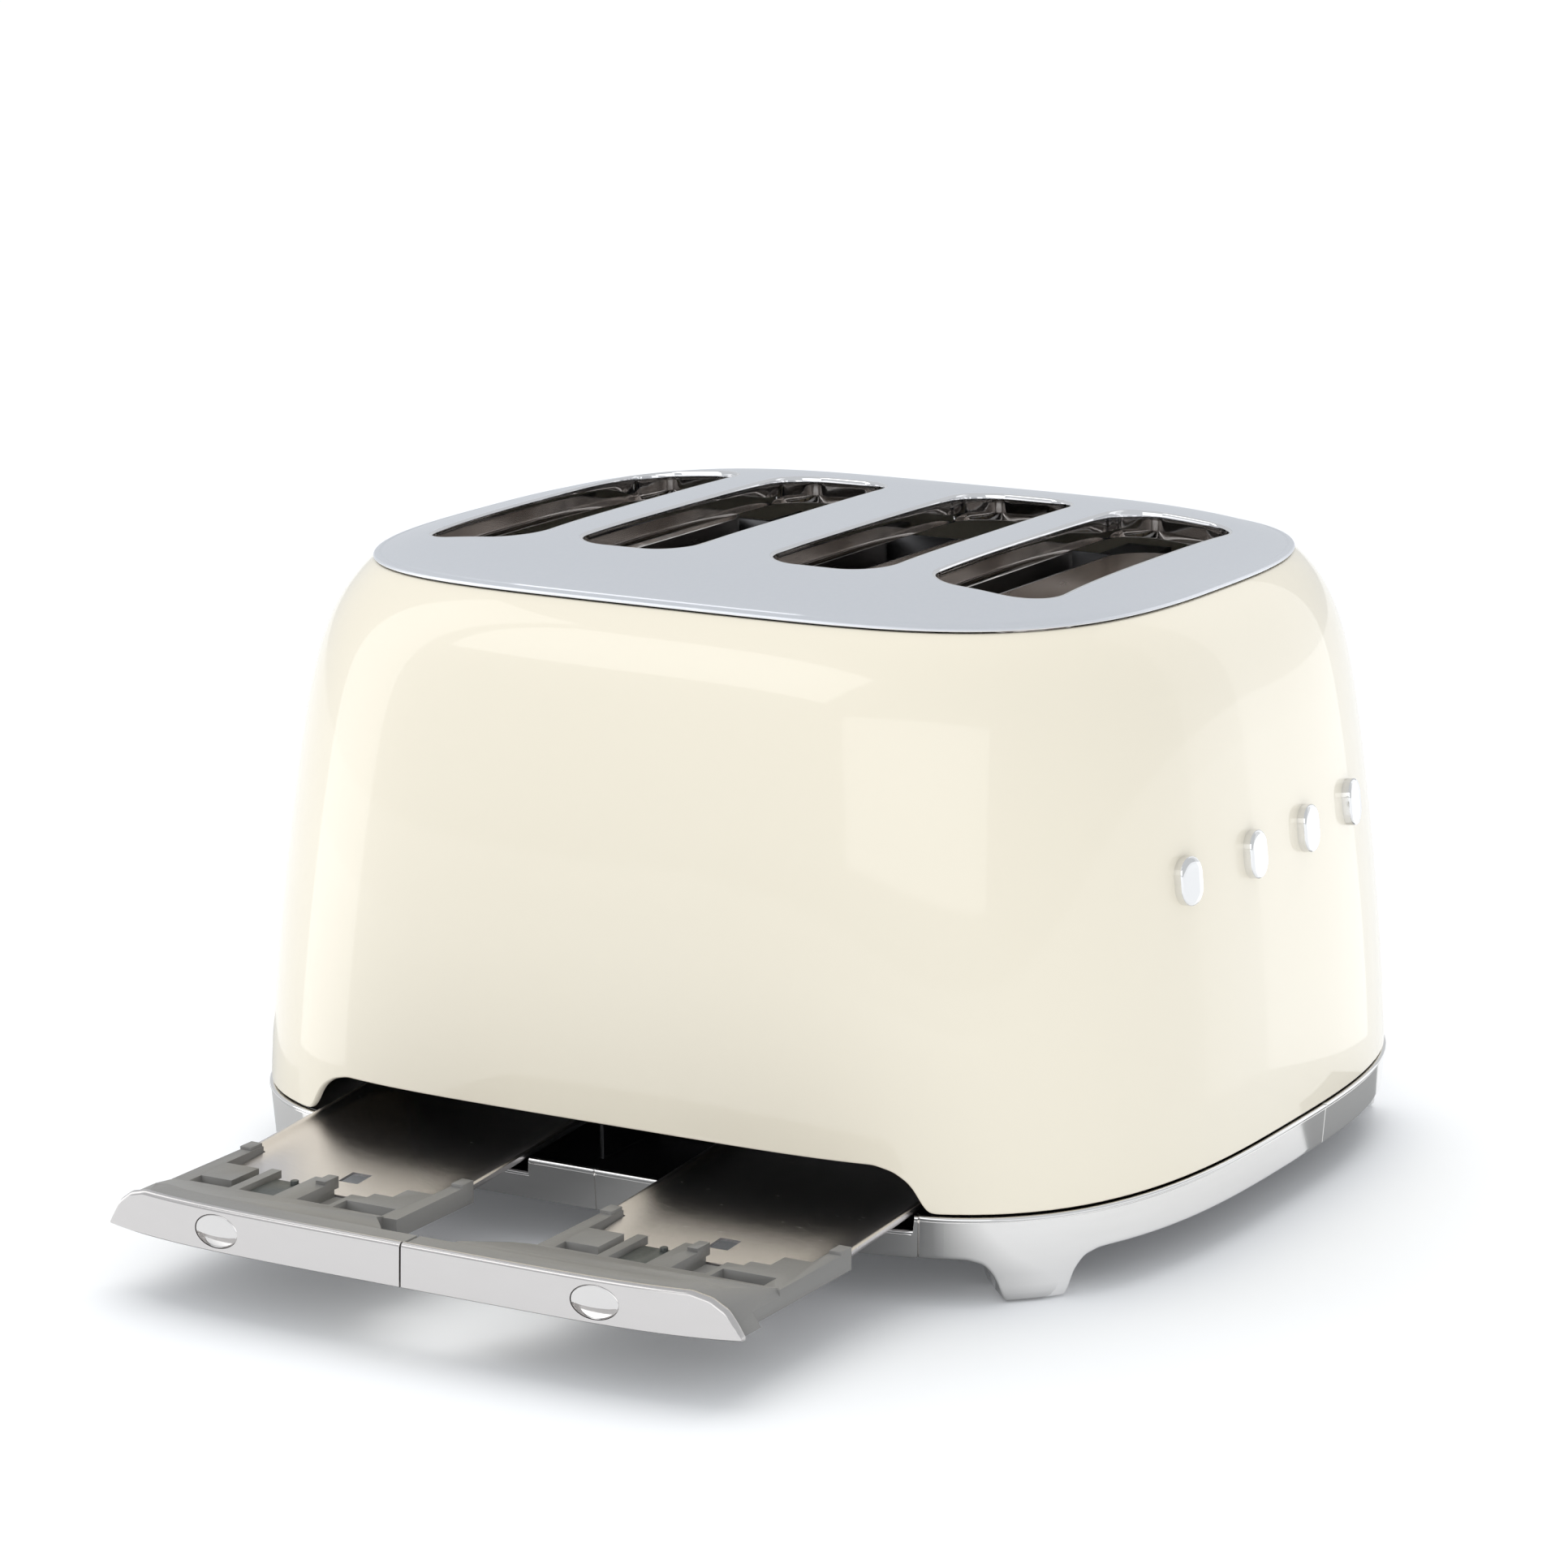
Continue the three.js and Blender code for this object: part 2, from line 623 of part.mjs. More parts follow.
// ---- lift gear ----------------------------------------------------------
function carriage(side) {
  const x = side * SIDE_X;
  const pieces = [
    box([x - 9, x + 9], [84, 100], [150, 170]),
    box(span(side * (INNER_SLOT_X - 6), side * (OUTER_SLOT_X + 6)), [79, 84.4], [142, 152]),
    box([x - 3, x + 3], [99, 152], [LEVER_Z - 1.5, LEVER_Z + 1.5]),
    box(span(side * 70, side * 86), [84, 98], [150, 152.5]),
  ];
  for (const slot of [INNER_SLOT_X, OUTER_SLOT_X]) {
    const middle = side * slot;
    pieces.push(box([middle - 2.5, middle + 2.5], [-60, 80], [143, 145.5]));
    pieces.push(box([middle - 6, middle + 6], [-62, 56], [145, 146.5]));
  }
  return joined(pieces).subtract(rod('z', ROD_R + 0.35, [x, ROD_Y], [140, 180], 16));
}

function returnSpring(side) {
  const turns = 7;
  const low = 33;
  const high = 149.2;
  class Helix extends THREE.Curve {
    getPoint(t, target = new THREE.Vector3()) {
      const angle = t * turns * 2 * Math.PI;
      return target.set(5.6 * Math.cos(angle), 5.6 * Math.sin(angle), low + (high - low) * t);
    }
  }
  const section = new THREE.Shape();
  for (let i = 0; i < 4; i += 1) {
    const angle = i / 4 * 2 * Math.PI;
    const move = i === 0 ? 'moveTo' : 'lineTo';
    section[move](0.7 * Math.cos(angle), 0.7 * Math.sin(angle));
  }
  const geometry = new THREE.ExtrudeGeometry(section, { steps: turns * 10, extrudePath: new Helix() });
  geometry.translate(side * SIDE_X, ROD_Y, 0);
  return solidOf(geometry);
}

function guideRod(side) {
  return rod('z', ROD_R, [side * SIDE_X, ROD_Y], [32.3, 182], 16);
}

function magnet(side) {
  const x = span(side * 72, side * 85);
  return joined([
    box(x, [86, 97], [52, 77.4]),
    box(x, [REAR_PLATE_Y + SHEET + GAP, 97], [52, 62]),
  ]);
}

function leverKnob(side) {
  const profile = [[0, 146.8], [6.5, 146.8], [8.2, 148], [9, 151], [9.6, 155], [9.2, 159.5], [7.4, 163],
    [4, 165.2], [0, 166]];
  const knob = turnedY(profile, side * SIDE_X, LEVER_Z, 16);
  return knob.subtract(box([side * SIDE_X - 3.3, side * SIDE_X + 3.3], [140, 152.4],
    [LEVER_Z - 1.8, LEVER_Z + 1.8]));
}

function leverGuide(side) {
  const layer = bodySkin(GAP, 1.6, [70, 180]);
  const outer = prismY(capsuleXZ(side * SIDE_X, 8.4, LEVER_Z - STROKE - 11, LEVER_Z + 11), [100, 170]);
  const inner = prismY(capsuleXZ(side * SIDE_X, 4.9, LEVER_Z - STROKE - 7.3, LEVER_Z + 7.3), [90, 180]);
  return layer.intersect(outer).subtract(inner);
}

// ---- controls -----------------------------------------------------------
function browningKnob(side) {
  const x = side * SIDE_X;
  const profile = [[0, 139.9], [3, 139.9], [3, 148.4], [16, 148.4], [15.2, 158.6], [13.8, 160], [0, 160]];
  const pointer = box([x - 1.4, x + 1.4], [159, 161.2], [KNOB_Z + 2, KNOB_Z + 13]);
  return turnedY(profile, x, KNOB_Z, 20).add(pointer);
}

function pushButton(x, z) {
  const profile = [[0, 141], [2, 141], [2, 144], [4.8, 144], [4.8, 148.8], [4, 149.7], [0, 149.7]];
  return turnedY(profile, x, z, 12);
}

function controlBoard() {
  const pieces = [box([-82, 82], [BOARD_Y, BOARD_Y + 1.6], [30, 84])];
  for (const side of [-1, 1]) {
    pieces.push(rod('y', 8, [side * SIDE_X, KNOB_Z], [BOARD_Y + 1, 139.5], 14));
    for (const z of BUTTON_ZS) {
      pieces.push(box([side * BUTTON_X - 3, side * BUTTON_X + 3], [BOARD_Y + 1, 138.1], [z - 3, z + 3]));
    }
  }
  pieces.push(box([-14, 14], [118, BOARD_Y + 1], [60, 80]));
  return joined(pieces);
}

function cordGland() {
  const profile = [[3.4, 141], [7, 141], [7, 148.6], [10.5, 148.6], [10.5, 150.4], [9, 152],
    [3.4, 152], [3.4, 141]];
  return turnedY(profile, 0, CORD_Z, 14);
}

// ---- assembly -----------------------------------------------------------
const toaster = new THREE.Group();
toaster.name = 'pop_up_toaster';

function addNode(name, solid, look) {
  const mesh = solid.getMesh();
  const geometry = new THREE.BufferGeometry();
  geometry.setAttribute('position', new THREE.BufferAttribute(new Float32Array(mesh.vertProperties), 3));
  geometry.setIndex(new THREE.BufferAttribute(new Uint32Array(mesh.triVerts), 1));
  const node = new THREE.Mesh(geometry, new THREE.MeshStandardMaterial(look));
  node.name = name;
  toaster.add(node);
}

addNode('body_shell', bodyShell(), CREAM);
addNode('top_plate', topPlate(), SATIN);
addNode('base_skirt', baseSkirt(), CHROME);
addNode('base_pan', basePan(), DARK_STEEL);
addNode('cord_gland', cordGland(), DARK_PLASTIC);
addNode('control_board', controlBoard(), CIRCUIT);
addNode('end_plate_front', endPlateFront(), DARK_STEEL);
addNode('end_plate_rear', endPlateRear(), DARK_STEEL);

for (const [label, side] of [['left', -1], ['right', 1]]) {
  addNode(`tray_fascia_${label}`, trayFascia(side), CHROME);
  addNode(`tray_frame_${label}`, trayFrame(side), GREY_PLASTIC);
  addNode(`crumb_tray_${label}`, crumbTray(side), BRUSHED);
  addNode(`tray_button_${label}`, trayButton(side), CHROME);
  addNode(`tray_latch_${label}`, trayLatch(side), DARK_PLASTIC);
  addNode(`carriage_${label}`, carriage(side), DARK_STEEL);
  addNode(`lever_knob_${label}`, leverKnob(side), CHROME);
  addNode(`lever_guide_${label}`, leverGuide(side), CHROME);
  addNode(`guide_rod_${label}`, guideRod(side), WIRE);
  addNode(`return_spring_${label}`, returnSpring(side), WIRE);
  addNode(`magnet_${label}`, magnet(side), DARK_STEEL);
  addNode(`browning_knob_${label}`, browningKnob(side), CHROME);
  BUTTON_ZS.forEach((z, i) => addNode(`button_${label}_${i + 1}`, pushButton(side * BUTTON_X, z), CHROME));
  addNode(`foot_pad_front_${label}`, rod('z', 4.5, [side * FOOT.x, -FOOT.y], [0, 3], 16), RUBBER);
  addNode(`foot_pad_rear_${label}`, rod('z', 4.5, [side * FOOT.x, FOOT.y], [0, 3], 16), RUBBER);
  for (const [place, x] of SLOT_XS) {
    addNode(`slot_liner_${label}_${place}`, slotLiner(side * x), DARK_STEEL);
    addNode(`bread_guard_${label}_${place}_a`, breadGuard(side * x, 1), WIRE);
    addNode(`bread_guard_${label}_${place}_b`, breadGuard(side * x, -1), WIRE);
  }
  for (const [place, x] of HEATER_XS) {
    addNode(`heater_board_${label}_${place}`, heaterBoard(side * x), MICA);
  }
}

// The row's origin is under the middle of the whole part's bounding box.
const bounds = new THREE.Box3().setFromObject(toaster);
const middle = bounds.getCenter(new THREE.Vector3());
for (const node of toaster.children) {
  node.geometry.translate(-middle.x, -middle.y, -bounds.min.z);
}

export default toaster;
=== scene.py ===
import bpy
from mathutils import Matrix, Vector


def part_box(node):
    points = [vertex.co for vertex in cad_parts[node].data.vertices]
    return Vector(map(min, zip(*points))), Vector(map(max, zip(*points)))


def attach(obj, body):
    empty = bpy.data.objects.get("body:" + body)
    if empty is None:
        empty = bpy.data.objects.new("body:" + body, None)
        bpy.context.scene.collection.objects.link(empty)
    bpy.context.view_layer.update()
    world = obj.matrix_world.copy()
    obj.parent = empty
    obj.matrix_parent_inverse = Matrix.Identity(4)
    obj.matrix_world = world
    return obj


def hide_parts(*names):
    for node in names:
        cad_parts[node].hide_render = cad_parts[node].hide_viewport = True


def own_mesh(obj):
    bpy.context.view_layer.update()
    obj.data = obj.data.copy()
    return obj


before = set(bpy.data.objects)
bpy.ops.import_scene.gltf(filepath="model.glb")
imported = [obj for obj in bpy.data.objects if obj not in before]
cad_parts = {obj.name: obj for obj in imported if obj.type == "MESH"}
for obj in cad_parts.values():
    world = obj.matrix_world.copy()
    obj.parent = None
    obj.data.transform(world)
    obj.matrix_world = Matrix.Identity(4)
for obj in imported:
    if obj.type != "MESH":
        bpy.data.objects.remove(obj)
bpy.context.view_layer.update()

import math

import bmesh
import bpy
import numpy as np
from mathutils import Matrix, Vector

# ---- sizes of the body, in mm, in a frame whose Y = 0 is the body's middle ----
BASE = (162.5, 148.5, 4.72, 2.96)
RIM = (135.9, 114.2, 4.42, 2.9)
BASE_Z = 26.8
RIM_Z = 192.8
SHELL_LOW = 27.5
SHELL_WALL = 2.0
ARCH_Z = 41.0

PLATE_LOW = 193.1
PLATE_WALL = 1.6
DOME_RISE = 9.5
DOME_POWER = 5.15

SLOT_X = 20.6
SLOT_Y = 70.5
SLOT_R = 14.0
SLOT_MIDDLE_Y = -3.6
INNER_SLOT = 34.2
OUTER_SLOT = 90.5
SIDE_X = (INNER_SLOT + OUTER_SLOT) / 2
CHAMBER_X = 17.2
CHAMBER_Y = 66.7
CHAMBER_R = 5.0
CHAMBER_LOW = 62.0
STEP_Z = 174.0
LINER_TOP = 188.4
WINDOW_Z = 119.0

BAND_LOW = 13.4
BAND_TOP = 26.5
BAND_WALL = 2.4
BEAD = 1.7
NOTCH_TOP = 22.4
FOOT_DEPTH = 15.0
FOOT_X = 134.4
FOOT_Y = 120.2
FOOT_TURN = math.radians(44)
SEAM_X = 107.0
SEAM_Y = 25.0

TRAY_X = 64.5
TILT = math.radians(4)
PULL = 105.0
PULL_Y = -PULL * math.cos(TILT)
PULL_Z = -PULL * math.sin(TILT)
RAIL_Y = -178.0
RAIL_Z = 26.4
OVAL_X = 7.65
OVAL_Z = 4.9
OVAL_GAP = 0.16
OVAL_MIDDLE_Z = 25.9 - PULL_Z
FASCIA_END = 107.9

LEVER_Z = 161.5
STROKE = 72.0
KNOB_Z = 62.0
BUTTON_X = 30.0
BUTTON_ZS = (46.0, 62.0, 78.0)
CORD_Z = 44.0
PAD_X = 129.4
PAD_Y = 115.2
STUDS = ((-61.4, 116.4), (-20.9, 116.4), (18.0, 116.5), (56.3, 116.8))

ROD_Y = 92.0
ROD_LOW = 32.3
GUARD_X = 14.2
HEATERS = (("outer", 112), ("middle", SIDE_X), ("inner", 13))

SIDES = (("left", -1), ("right", 1))
SLOTS = (("outer", OUTER_SLOT), ("inner", INNER_SLOT))

pan_low, pan_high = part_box("base_pan")
MIDDLE_Y = 500 * (pan_low.y + pan_high.y)


def metres(points):
    return (np.asarray(points, float) + (0, MIDDLE_Y, 0)) / 1000


def circle(count):
    """Evenly spaced angles all the way round."""
    return np.arange(count) / count * 2 * math.pi


def placed(name, data):
    """A new object in the scene."""
    piece = bpy.data.objects.new(name, data)
    bpy.context.scene.collection.objects.link(piece)
    return piece


# ---- meshes ----
def mesh_object(name, points, faces, angle=32):
    mesh = bpy.data.meshes.new(name)
    mesh.from_pydata(metres(points).tolist(), [], faces)
    mesh.validate()
    piece = placed(name, mesh)
    outward(mesh)
    smooth(mesh, angle)
    return piece


def outward(mesh):
    bm = bmesh.new()
    bm.from_mesh(mesh)
    bmesh.ops.recalc_face_normals(bm, faces=bm.faces)
    if bm.calc_volume(signed=True) < 0:
        bmesh.ops.reverse_faces(bm, faces=bm.faces)
    bm.to_mesh(mesh)
    bm.free()


def smooth(mesh, angle):
    mesh.shade_smooth()
    mesh.set_sharp_from_angle(angle=math.radians(angle))


def grid_faces(rows, columns, wrap_rows, wrap_columns):
    faces = []
    for i in range(rows if wrap_rows else rows - 1):
        below = i * columns
        above = (i + 1) % rows * columns
        for j in range(columns if wrap_columns else columns - 1):
            k = (j + 1) % columns
            faces.append((below + j, below + k, above + k, above + j))
    return faces


def grid_object(name, grid, wrap_rows=True, wrap_columns=True, capped=False, angle=32):
    """A mesh over a grid of points [row][column][3]; capped closes the first and last row or column."""
    grid = np.asarray(grid, float)
    rows, columns, _ = grid.shape
    faces = grid_faces(rows, columns, wrap_rows, wrap_columns)
    if capped and wrap_columns:
        faces.append(tuple(range(columns)))
        faces.append(tuple((rows - 1) * columns + j for j in range(columns)))
    elif capped:
        faces.append(tuple(i * columns for i in range(rows)))
        faces.append(tuple(i * columns + columns - 1 for i in range(rows)))
    return mesh_object(name, grid.reshape(-1, 3), faces, angle)


def joined(name, pieces):
    """One object with all the pieces' meshes in it."""
    bm = bmesh.new()
    for piece in pieces:
        bm.from_mesh(piece.data)
        bpy.data.objects.remove(piece)
    mesh = bpy.data.meshes.new(name)
    bm.to_mesh(mesh)
    bm.free()
    whole = placed(name, mesh)
    smooth(mesh, 32)
    return whole


def applied(piece, angle=32):
    """The piece with its modifiers made part of its mesh."""
    graph = bpy.context.evaluated_depsgraph_get()
    mesh = bpy.data.meshes.new_from_object(piece.evaluated_get(graph))
    piece.modifiers.clear()
    piece.data = mesh
    smooth(mesh, angle)
    return piece


def carved(piece, cutters, angle=32):
    tool = joined("cutter", cutters)
    cut = piece.modifiers.new("cut", "BOOLEAN")
    cut.operation = "DIFFERENCE"
    cut.solver = "EXACT"
    cut.object = tool
    bpy.context.view_layer.update()
    applied(piece, angle)
    bpy.data.objects.remove(tool)
    return piece


def bevelled(piece, width, segments=2):
    bevel = piece.modifiers.new("bevel", "BEVEL")
    bevel.width = width / 1000
    bevel.segments = segments
    bevel.limit_method = "ANGLE"
    bevel.angle_limit = math.radians(30)
    bevel.use_clamp_overlap = True
    bevel.harden_normals = True
    return piece


def box_object(name, x, y, z):
    corners = [(a, b, c) for c in sorted(z) for b in sorted(y) for a in sorted(x)]
    faces = [(0, 2, 3, 1), (4, 5, 7, 6), (0, 1, 5, 4), (2, 6, 7, 3), (0, 4, 6, 2), (1, 3, 7, 5)]
    return mesh_object(name, corners, faces)


def prism(name, outline, axis, span):
    """A prism along an axis (0, 1 or 2) over an outline of pairs on the other two."""
    rows = [np.insert(outline, axis, place, axis=1) for place in span]
    return grid_object(name, rows, wrap_rows=False, capped=True)


def ring_points(half_x, half_y, radius, steps=14):
    """A rounded rectangle about the origin with evenly turned corners."""
    points = []
    for quarter, (sx, sy) in enumerate(((1, 1), (-1, 1), (-1, -1), (1, -1))):
        for i in range(steps + 1):
            angle = (quarter + i / steps) * math.pi / 2
            points.append((
                sx * (half_x - radius) + radius * math.cos(angle),
                sy * (half_y - radius) + radius * math.sin(angle),
            ))
    return np.array(points)


def divided(outline, reach):
    """A closed outline with its long sides cut into parts of about the reach."""
    points = []
    for a, b in zip(outline, np.roll(outline, -1, axis=0)):
        parts = max(1, int(np.hypot(*(b - a)) / reach))
        points += [a + (b - a) * k / parts for k in range(parts)]
    return np.array(points)


def rings_object(name, rings):
    """A closed grid over divided rings, which may differ by a point."""
    count = min(len(ring) for ring in rings)
    return grid_object(name, [ring[:count] for ring in rings], angle=50)


def turned_rows(profile, middle, sides, axis=1):
    """Rings of points round an axis (1 or 2) from a (radius, along) profile."""
    round_shape = np.stack([np.cos(circle(sides)), np.sin(circle(sides))], axis=1)
    rings = [(max(radius, 0.001) * round_shape + middle, along) for radius, along in profile]
    return [np.insert(ring, axis, along, axis=1) for ring, along in rings]


def turned(name, profile, middle, sides=64, axis=1):
    """A closed turned piece from (radius, along) points that start and end on the axis."""
    rows = turned_rows(profile, middle, sides, axis)
    piece = grid_object(name, rows, wrap_rows=False, capped=True)
    bm = bmesh.new()
    bm.from_mesh(piece.data)
    bmesh.ops.remove_doubles(bm, verts=bm.verts, dist=4e-6)
    bmesh.ops.recalc_face_normals(bm, faces=bm.faces)
    bm.to_mesh(piece.data)
    bm.free()
    smooth(piece.data, 32)
    return piece


def tube(name, path, radius, sides=12):
    """A closed tube with rounded ends along a path of points."""
    path = np.asarray(path, float)
    tangents = np.gradient(path, axis=0)
    tangents /= np.linalg.norm(tangents, axis=1)[:, None]
    side = np.cross(tangents[0], (0.3, 0.5, 0.8))
    side /= np.linalg.norm(side)
    rows = []
    frames = []
    for tangent in tangents:
        side = side - tangent * np.dot(side, tangent)
        side /= np.linalg.norm(side)
        frames.append((side, np.cross(tangent, side)))

    def ring(i, scale, push):
        across, up = frames[i]
        turn = np.outer(np.cos(circle(sides)), across) + np.outer(np.sin(circle(sides)), up)
        return path[i] + tangents[i] * push + turn * radius * scale

    for scale, push in ((0.3, -0.95), (0.75, -0.65)):
        rows.append(ring(0, scale, push * radius))
    for i in range(len(path)):
        rows.append(ring(i, 1, 0))
    for scale, push in ((0.75, 0.65), (0.3, 0.95)):
        rows.append(ring(-1, scale, push * radius))
    return grid_object(name, rows, wrap_rows=False, capped=True)


# ---- the superellipse body ----
def body_outline(z):
    """Half sizes and exponents of the body's outside at height z."""
    t = np.clip((np.asarray(z, float) - BASE_Z) / (RIM_Z - BASE_Z), 0, 1)
    share = 0.58 * t ** 1.5 + 0.42 * t ** 12
    x, y = (BASE[i] + (RIM[i] - BASE[i]) * share for i in (0, 1))
    nx, ny = (BASE[i] + (RIM[i] - BASE[i]) * t for i in (2, 3))
    return x, y, nx, ny


def on_outline(outline, turn, grow=0.0):
    """Points of an outline at angles turn, grown outwards."""
    x, y, nx, ny = outline
    c = np.cos(turn)
    s = np.sin(turn)
    return (
        (x + grow) * np.sign(c) * np.abs(c) ** (2 / nx),
        (y + grow) * np.sign(s) * np.abs(s) ** (2 / ny),
    )


def front_y(x, z, grow=0.0):
    """Y of the body's front face at (x, z)."""
    half_x, half_y, nx, ny = body_outline(z)
    share = np.clip(1 - (np.abs(x) / (half_x + grow)) ** nx, 0, 1)
    return -(half_y + grow) * share ** (1 / ny)


def body_normals(points):
    """Outward unit normals of the body's outside at points in mm."""
    def level(p):
        x, y, nx, ny = body_outline(p[:, 2])
        return (np.abs(p[:, 0]) / x) ** nx + (np.abs(p[:, 1]) / y) ** ny
    return gradient(level, points)


def gradient(level, points, step=0.02):
    slopes = []
    for axis in np.eye(3) * step:
        slopes.append(level(points + axis) - level(points - axis))
    slopes = np.stack(slopes, axis=1)
    return slopes / np.maximum(np.linalg.norm(slopes, axis=1)[:, None], 1e-12)


def set_normals(piece, normal_of, within=22):
    """Gives exact normals to the faces that lie along a known surface."""
    mesh = piece.data
    count = len(mesh.loops)
    corners = np.zeros(count * 3)
    mesh.corner_normals.foreach_get("vector", corners)
    corners = corners.reshape(-1, 3)
    vertex = np.zeros(count, int)
    mesh.loops.foreach_get("vertex_index", vertex)
    places = np.zeros(len(mesh.vertices) * 3)
    mesh.vertices.foreach_get("co", places)
    places = places.reshape(-1, 3) * 1000 - (0, MIDDLE_Y, 0)
    exact = normal_of(places)[vertex]
    owners = np.repeat(np.arange(len(mesh.polygons)), [len(p.vertices) for p in mesh.polygons])
    flat = np.array([p.normal[:] for p in mesh.polygons])[owners]
    close = (exact * flat).sum(axis=1) > math.cos(math.radians(within))
    corners[close] = exact[close]
    mesh.normals_split_custom_set(corners.tolist())


def quarter_turns(count, extra=()):
    """Angles of one quarter at equal lengths of arc round the base outline, and the extra angles."""
    fine = np.linspace(0, math.pi / 2, 3000)
    x, y = on_outline(BASE, fine)
    length = np.concatenate([[0], np.cumsum(np.hypot(np.diff(x), np.diff(y)))])
    even = np.interp(np.linspace(0, length[-1], count + 1), length, fine)
    even[0] = 0.0
    even[-1] = math.pi / 2
    if len(extra) == 0:
        return even
    low = min(extra)
    high = max(extra)
    kept = [a for a in even if a < low - 0.002 or a > high + 0.002]
    return np.array(sorted(kept + list(extra)))


def whole_turns(quarter):
    """The same quarter mirrored all the way round, without repeats."""
    half = np.concatenate([quarter, math.pi - quarter[-2::-1]])
    lower = half[1:-1] + math.pi
    return np.concatenate([half, lower])


def turn_at_x(x):
    return math.acos((x / BASE[0]) ** (BASE[2] / 2))


def softened(function, values, reach):
    """The function averaged over a short reach, which rounds its corners."""
    return np.mean([function(values + k) for k in np.linspace(-reach, reach, 15)], axis=0)


ARCH_X = (0, 94, 99.8, 104.4, 107.2, 108.9)
ARCH_ZS = (ARCH_Z, ARCH_Z, 39.4, 36.2, 31.8, 28.2)


def arch_height(x):
    """Height of the tray mouth's edge over |x|, with its flare into the shell's bottom."""
    xs = ARCH_X + (110.2, 112.5, 200)
    zs = ARCH_ZS + (SHELL_LOW + 0.2, SHELL_LOW, SHELL_LOW)
    return softened(lambda v: np.interp(v, xs, zs), np.abs(x), 1.6)


def fascia_height(x):
    """Height of the fascia's upper edge over |x|, before it is pulled out."""
    xs = ARCH_X + (110.4,)
    zs = ARCH_ZS + (26,)
    return softened(lambda v: np.interp(v, xs, zs), np.abs(x) + 0.8, 0.8) - 0.8


def arc(middle, radius, start, end, count):
    """Points (offset, z) on an arc, angles in degrees."""
    angles = np.radians(np.linspace(start, end, count))
    return [(middle[0] + radius * math.cos(a), middle[1] + radius * math.sin(a)) for a in angles]


def shell_object():
    """The enamelled casing: rolled edges at its bottom and top, the tray mouth and the rear openings."""
    lip = 0.8
    extra = [turn_at_x(x) for x in np.arange(92, 116, 0.75)]
    turns = whole_turns(quarter_turns(46, extra))
    base_x, base_y = on_outline(BASE, turns)
    low = np.where(base_y < 0, arch_height(base_x), SHELL_LOW)
    top = np.full(len(turns), RIM_Z - 0.5)
    shares = np.concatenate([np.linspace(0, 0.8, 34), 0.8 + 0.2 * np.linspace(0, 1, 30)[1:] ** 0.8])
    rows = []
    for offset, rise in arc((-lip, lip), lip, -90, 0, 7)[:-1]:
        rows.append((offset, low + rise))
    for share in shares:
        rows.append((0, low + lip + (top - low - lip) * share))
    for offset, rise in arc((-0.5, 0), 0.5, 0, 90, 5)[1:]:
        rows.append((offset, top + rise))
    for offset, rise in arc((-1.5, 0), 0.5, 90, 180, 5):
        rows.append((offset, top + rise))
    for share in shares[::-3][1:]:
        rows.append((-SHELL_WALL, low + lip + (top - low - lip) * share))
    for offset, rise in arc((lip - SHELL_WALL, lip), lip, 180, 270, 7)[:-1]:
        rows.append((offset, low + rise))
    grid = []
    for offset, z in rows:
        x, y = on_outline(body_outline(z), turns, offset)
        grid.append(np.stack([x, y, z], axis=1))
    shell = grid_object("shell", grid)
    cutters = []
    for side in (-1, 1):
        slot = ring_points(4.6, (STROKE + 14) / 2, 4.59, 10) + (side * SIDE_X, LEVER_Z - STROKE / 2)
        cutters.append(prism("slot", slot, 1, (100, 160)))
        cutters.append(turned("shaft", [(4, 130), (4, 160)], (side * SIDE_X, KNOB_Z), 32))
        for z in BUTTON_ZS:
            cutters.append(turned("hole", [(5.3, 130), (5.3, 160)], (side * BUTTON_X, z), 48))
    cutters.append(turned("cord", [(7.4, 130), (7.4, 160)], (0, CORD_Z), 48))
    carved(shell, cutters)
    set_normals(shell, body_normals)
    return shell


# ---- top plate ----
def rim_share(x, y):
    """How far out (x, y) is: 0 in the middle, 1 at the plate's outline."""
    low = np.zeros(np.shape(x))
    high = np.full(np.shape(x), 1.4)
    for _ in range(40):
        middle = (low + high) / 2
        safe = np.maximum(middle, 1e-6)
        outside = (np.abs(x) / (safe * RIM[0])) ** RIM[2] + (np.abs(y) / (safe * RIM[1])) ** RIM[3] > 1
        low = np.where(outside, middle, low)
        high = np.where(outside, high, middle)
    return (low + high) / 2


def dome(x, y):
    share = np.clip(rim_share(np.asarray(x, float), np.asarray(y, float)), 0, 1.02)
    return PLATE_LOW + 1 + DOME_RISE * (1 - share ** DOME_POWER)


def dome_normals(points):
    def level(p):
        return p[:, 2] - dome(p[:, 0], p[:, 1])
    return gradient(level, points)


